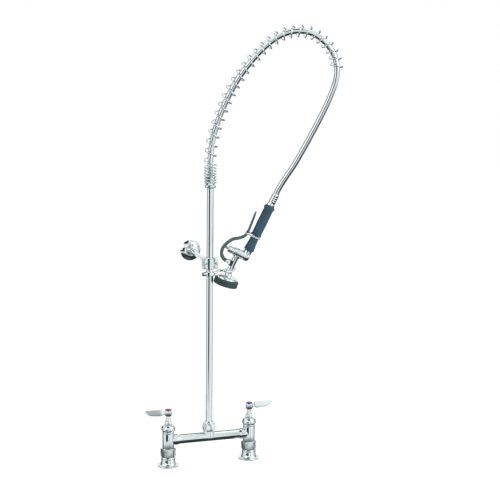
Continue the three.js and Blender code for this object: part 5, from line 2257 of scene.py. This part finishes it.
# ---- Studio ----
@dataclass
class Studio:
    """Camera, floor, soft lights and the surroundings that polished metal reflects."""

    # Where the camera stands, in metres, and its own axes
    place: Point = (-1.5094, -4.5880, 1.5519)
    right: Point = (0.9443, -0.3290, 0.0097)
    up: Point = (0.0597, 0.2003, 0.9779)
    forward: Point = (0.3237, 0.9228, -0.2088)
    lens: float = 151.19
    sensor: float = 36.0
    # Colours of what polished metal reflects, where it is darkest and brightest
    shadow: tuple[float, float, float] = (0.010, 0.018, 0.022)
    white: tuple[float, float, float] = (1.08, 1.12, 1.13)
    # Brightness from left to right of the camera: softboxes with a grey flag between them
    near_levels: tuple[tuple[float, float], ...] = (
        (-1.0, 0.60),
        (-0.93, 0.98),
        (0.38, 1.0),
        (0.46, 0.50),
        (0.54, 0.50),
        (0.575, 1.0),
        (0.90, 1.0),
        (1.0, 0.72),
    )
    # The dark gap left of the camera, from side to side and from below to above
    gap_levels: tuple[tuple[float, float], ...] = (
        (-0.73, 0.0),
        (-0.68, 1.0),
        (-0.03, 1.0),
        (0.02, 0.0),
    )
    gap_heights: tuple[tuple[float, float], ...] = (
        (-0.285, 0.0),
        (-0.262, 1.0),
        (0.16, 1.0),
        (0.22, 0.0),
    )
    # The backdrop, with a dark flag on each side that draws the edges of round pieces
    far_levels: tuple[tuple[float, float], ...] = (
        (-1.0, 0.60),
        (-0.96, 0.60),
        (-0.92, 0.05),
        (-0.72, 0.05),
        (-0.66, 0.90),
        (0.70, 0.90),
        (0.76, 0.12),
        (0.86, 0.12),
        (0.93, 0.65),
    )
    ceiling_levels: tuple[tuple[float, float], ...] = (
        (-0.5, 1.0),
        (-0.38, 0.95),
        (-0.30, 0.03),
        (0.20, 0.03),
        (0.28, 0.95),
        (0.6, 0.85),
    )
    # Brightness from straight down to straight up
    ground_levels: tuple[tuple[float, float], ...] = (
        (-1.0, 0.03),
        (-0.56, 0.03),
        (-0.46, 0.25),
        (-0.34, 0.90),
        (0.02, 1.0),
        (0.05, 0.45),
        (0.10, 0.45),
        (0.13, 1.0),
    )

    def camera(self) -> None:
        """The camera at the faucet's usual three-quarter view."""
        data = bpy.data.cameras.new("camera")
        data.lens = self.lens
        data.sensor_width = self.sensor
        data.clip_end = 60
        camera = bpy.data.objects.new("camera", data)
        bpy.context.scene.collection.objects.link(camera)
        axes = Matrix((self.right, self.up, tuple(-c for c in self.forward))).transposed()
        camera.matrix_world = Matrix.Translation(self.place) @ axes.to_4x4()
        bpy.context.scene.camera = camera

    def floor(self) -> None:
        """A plain pale floor; polished metal reflects the studio instead of it."""
        Piece.clear()
        bpy.ops.mesh.primitive_plane_add(size=60, location=(0, 0, -0.0004))
        floor = bpy.context.object
        floor.name = "floor"
        floor.visible_glossy = False
        shader = Shader.named("pale floor")
        floor.data.materials.append(
            shader.surface(
                base_color=(0.8, 0.8, 0.8),
                roughness=0.9,
                specular_ior_level=0.0,
                emission_color=(1, 1, 1),
                emission_strength=0.62,
            )
        )

    def lamp(self, name: str, place: Point, target: Point, size: tuple[float, float],
             power: float) -> None:
        """A large soft light aimed at a point.

        Args:
            name: the light's name.
            place: where it stands.
            target: what it is aimed at.
            size: its width and height.
            power: its power in watts.
        """
        data = bpy.data.lights.new(name, "AREA")
        data.shape = "RECTANGLE"
        data.size, data.size_y = size
        data.energy = power
        lamp = bpy.data.objects.new(name, data)
        bpy.context.scene.collection.objects.link(lamp)
        lamp.location = place
        lamp.rotation_mode = "QUATERNION"
        lamp.rotation_quaternion = (Vector(target) - Vector(place)).to_track_quat("-Z", "Y")

    def surroundings(self) -> None:
        """White studio walls, with dark flags at the sides and a dark gap in front."""
        world = bpy.data.worlds.new("studio")
        bpy.context.scene.world = world
        shader = Shader(world)
        shader.tree.nodes.clear()
        direction = shader.node("ShaderNodeTexCoord", output="Generated")
        aside = self.facing(shader, direction, self.right)
        ahead = self.facing(shader, direction, (self.forward[0], self.forward[1], 0))
        height = self.facing(shader, direction, (0, 0, 1))
        gap = self.levels(shader, aside, self.gap_levels) * self.levels(shader, height, self.gap_heights)
        near = self.levels(shader, aside, self.near_levels) * (1.0 - 0.97 * gap)
        far = self.levels(shader, aside, self.far_levels)
        behind = self.band(shader, ahead, -0.1, 0.35)
        walls = near * (1.0 - behind) + far * behind
        ceiling = self.levels(shader, aside, self.ceiling_levels)
        above = self.band(shader, height, 0.45, 0.75)
        ground = self.levels(shader, height, self.ground_levels)
        level = (walls * (1.0 - above) + ceiling * above) * ground
        tint = self.tinted(shader, level, self.shadow, self.white)
        seen = shader.node("ShaderNodeLightPath", output="Is Camera Ray")
        glossy = shader.node("ShaderNodeLightPath", output="Is Glossy Ray")
        reflected = shader.node("ShaderNodeBackground", {}, {"Color": tint, "Strength": 1.0})
        side_light = self.band(shader, aside, -0.5, 0.8) * 0.92 + 0.10
        soft_tint = self.tinted(shader, side_light, (0, 0, 0), (1, 1, 1))
        soft = shader.node("ShaderNodeBackground", {}, {"Color": soft_tint, "Strength": 1.0})
        plain = shader.node("ShaderNodeBackground", {}, {"Color": (1, 1, 1, 1), "Strength": 1.1})
        lit = shader.node("ShaderNodeMixShader", {}, {0: glossy, 1: soft, 2: reflected})
        final = shader.node("ShaderNodeMixShader", {}, {0: seen, 1: lit, 2: plain})
        out = shader.tree.nodes.new("ShaderNodeOutputWorld")
        shader.tree.links.new(final.socket, out.inputs["Surface"])

    @staticmethod
    def tinted(shader: Shader, level: Value, dark: Sequence[float], light: Sequence[float]) -> Value:
        """A colour between a dark and a light one; the Mix node's colours are its sockets 6 and 7."""
        colours = {"Factor": level, 6: (*dark, 1), 7: (*light, 1)}
        return shader.node("ShaderNodeMix", {"data_type": "RGBA"}, colours, output=2)

    @staticmethod
    def facing(shader: Shader, direction: Value, axis: Sequence[float]) -> Value:
        """How much a direction points along an axis."""
        settings = {"operation": "DOT_PRODUCT"}
        return shader.node("ShaderNodeVectorMath", settings, {0: direction, 1: tuple(axis)}, output="Value")

    @staticmethod
    def levels(shader: Shader, value: Value, steps: Sequence[tuple[float, float]]) -> Value:
        """Brightness against a direction's share along an axis, from -1 to 1."""
        stops = [((at + 1) / 2, (level, level, level)) for at, level in steps]
        return shader.node("ShaderNodeValToRGB", {"stops": stops}, {"Fac": value * 0.5 + 0.5})

    @staticmethod
    def band(shader: Shader, value: Value, start: float, end: float) -> Value:
        """A soft step from 0 at start to 1 at end."""
        return shader.node(
            "ShaderNodeMapRange",
            {"interpolation_type": "SMOOTHSTEP"},
            {"Value": value, "From Min": start, "From Max": end},
        )

    def build(self) -> None:
        """Sets up everything round the faucet but the camera."""
        self.floor()
        self.surroundings()
        middle = (0.06, 0.0, 0.5)
        self.lamp("key", (2.4, -2.9, 1.9), middle, (1.0, 2.2), 34)
        self.lamp("fill", (-2.9, -1.8, 1.3), middle, (1.0, 2.4), 8)
        self.lamp("top", (0.2, 0.4, 3.4), middle, (2.0, 2.0), 14)
        settings = bpy.context.scene.view_settings
        settings.view_transform = "Standard"
        settings.look = "None"
        settings.exposure = 0.0


def main() -> None:
    """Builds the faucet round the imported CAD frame."""
    logging.basicConfig(level=logging.INFO, format="%(name)s: %(message)s")
    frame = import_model()
    studio = Studio()
    studio.camera()
    finishes = Finishes()
    hose = Hose(finishes)
    hose.build()
    builders: tuple[Callable[[], None], ...] = (
        hose.fittings,
        Valve(finishes).build,
        Bridge(finishes).build,
        WallBracket(finishes).build,
        FingerHook(finishes).build,
        SprayHandle(finishes).build,
        SqueezeLever(finishes).build,
        SprayHead(finishes).build,
    )
    for build in builders:
        build()
    dress_kept_nodes(frame["nodes"], finishes)
    studio.build()


if __name__ == "__main__":
    main()
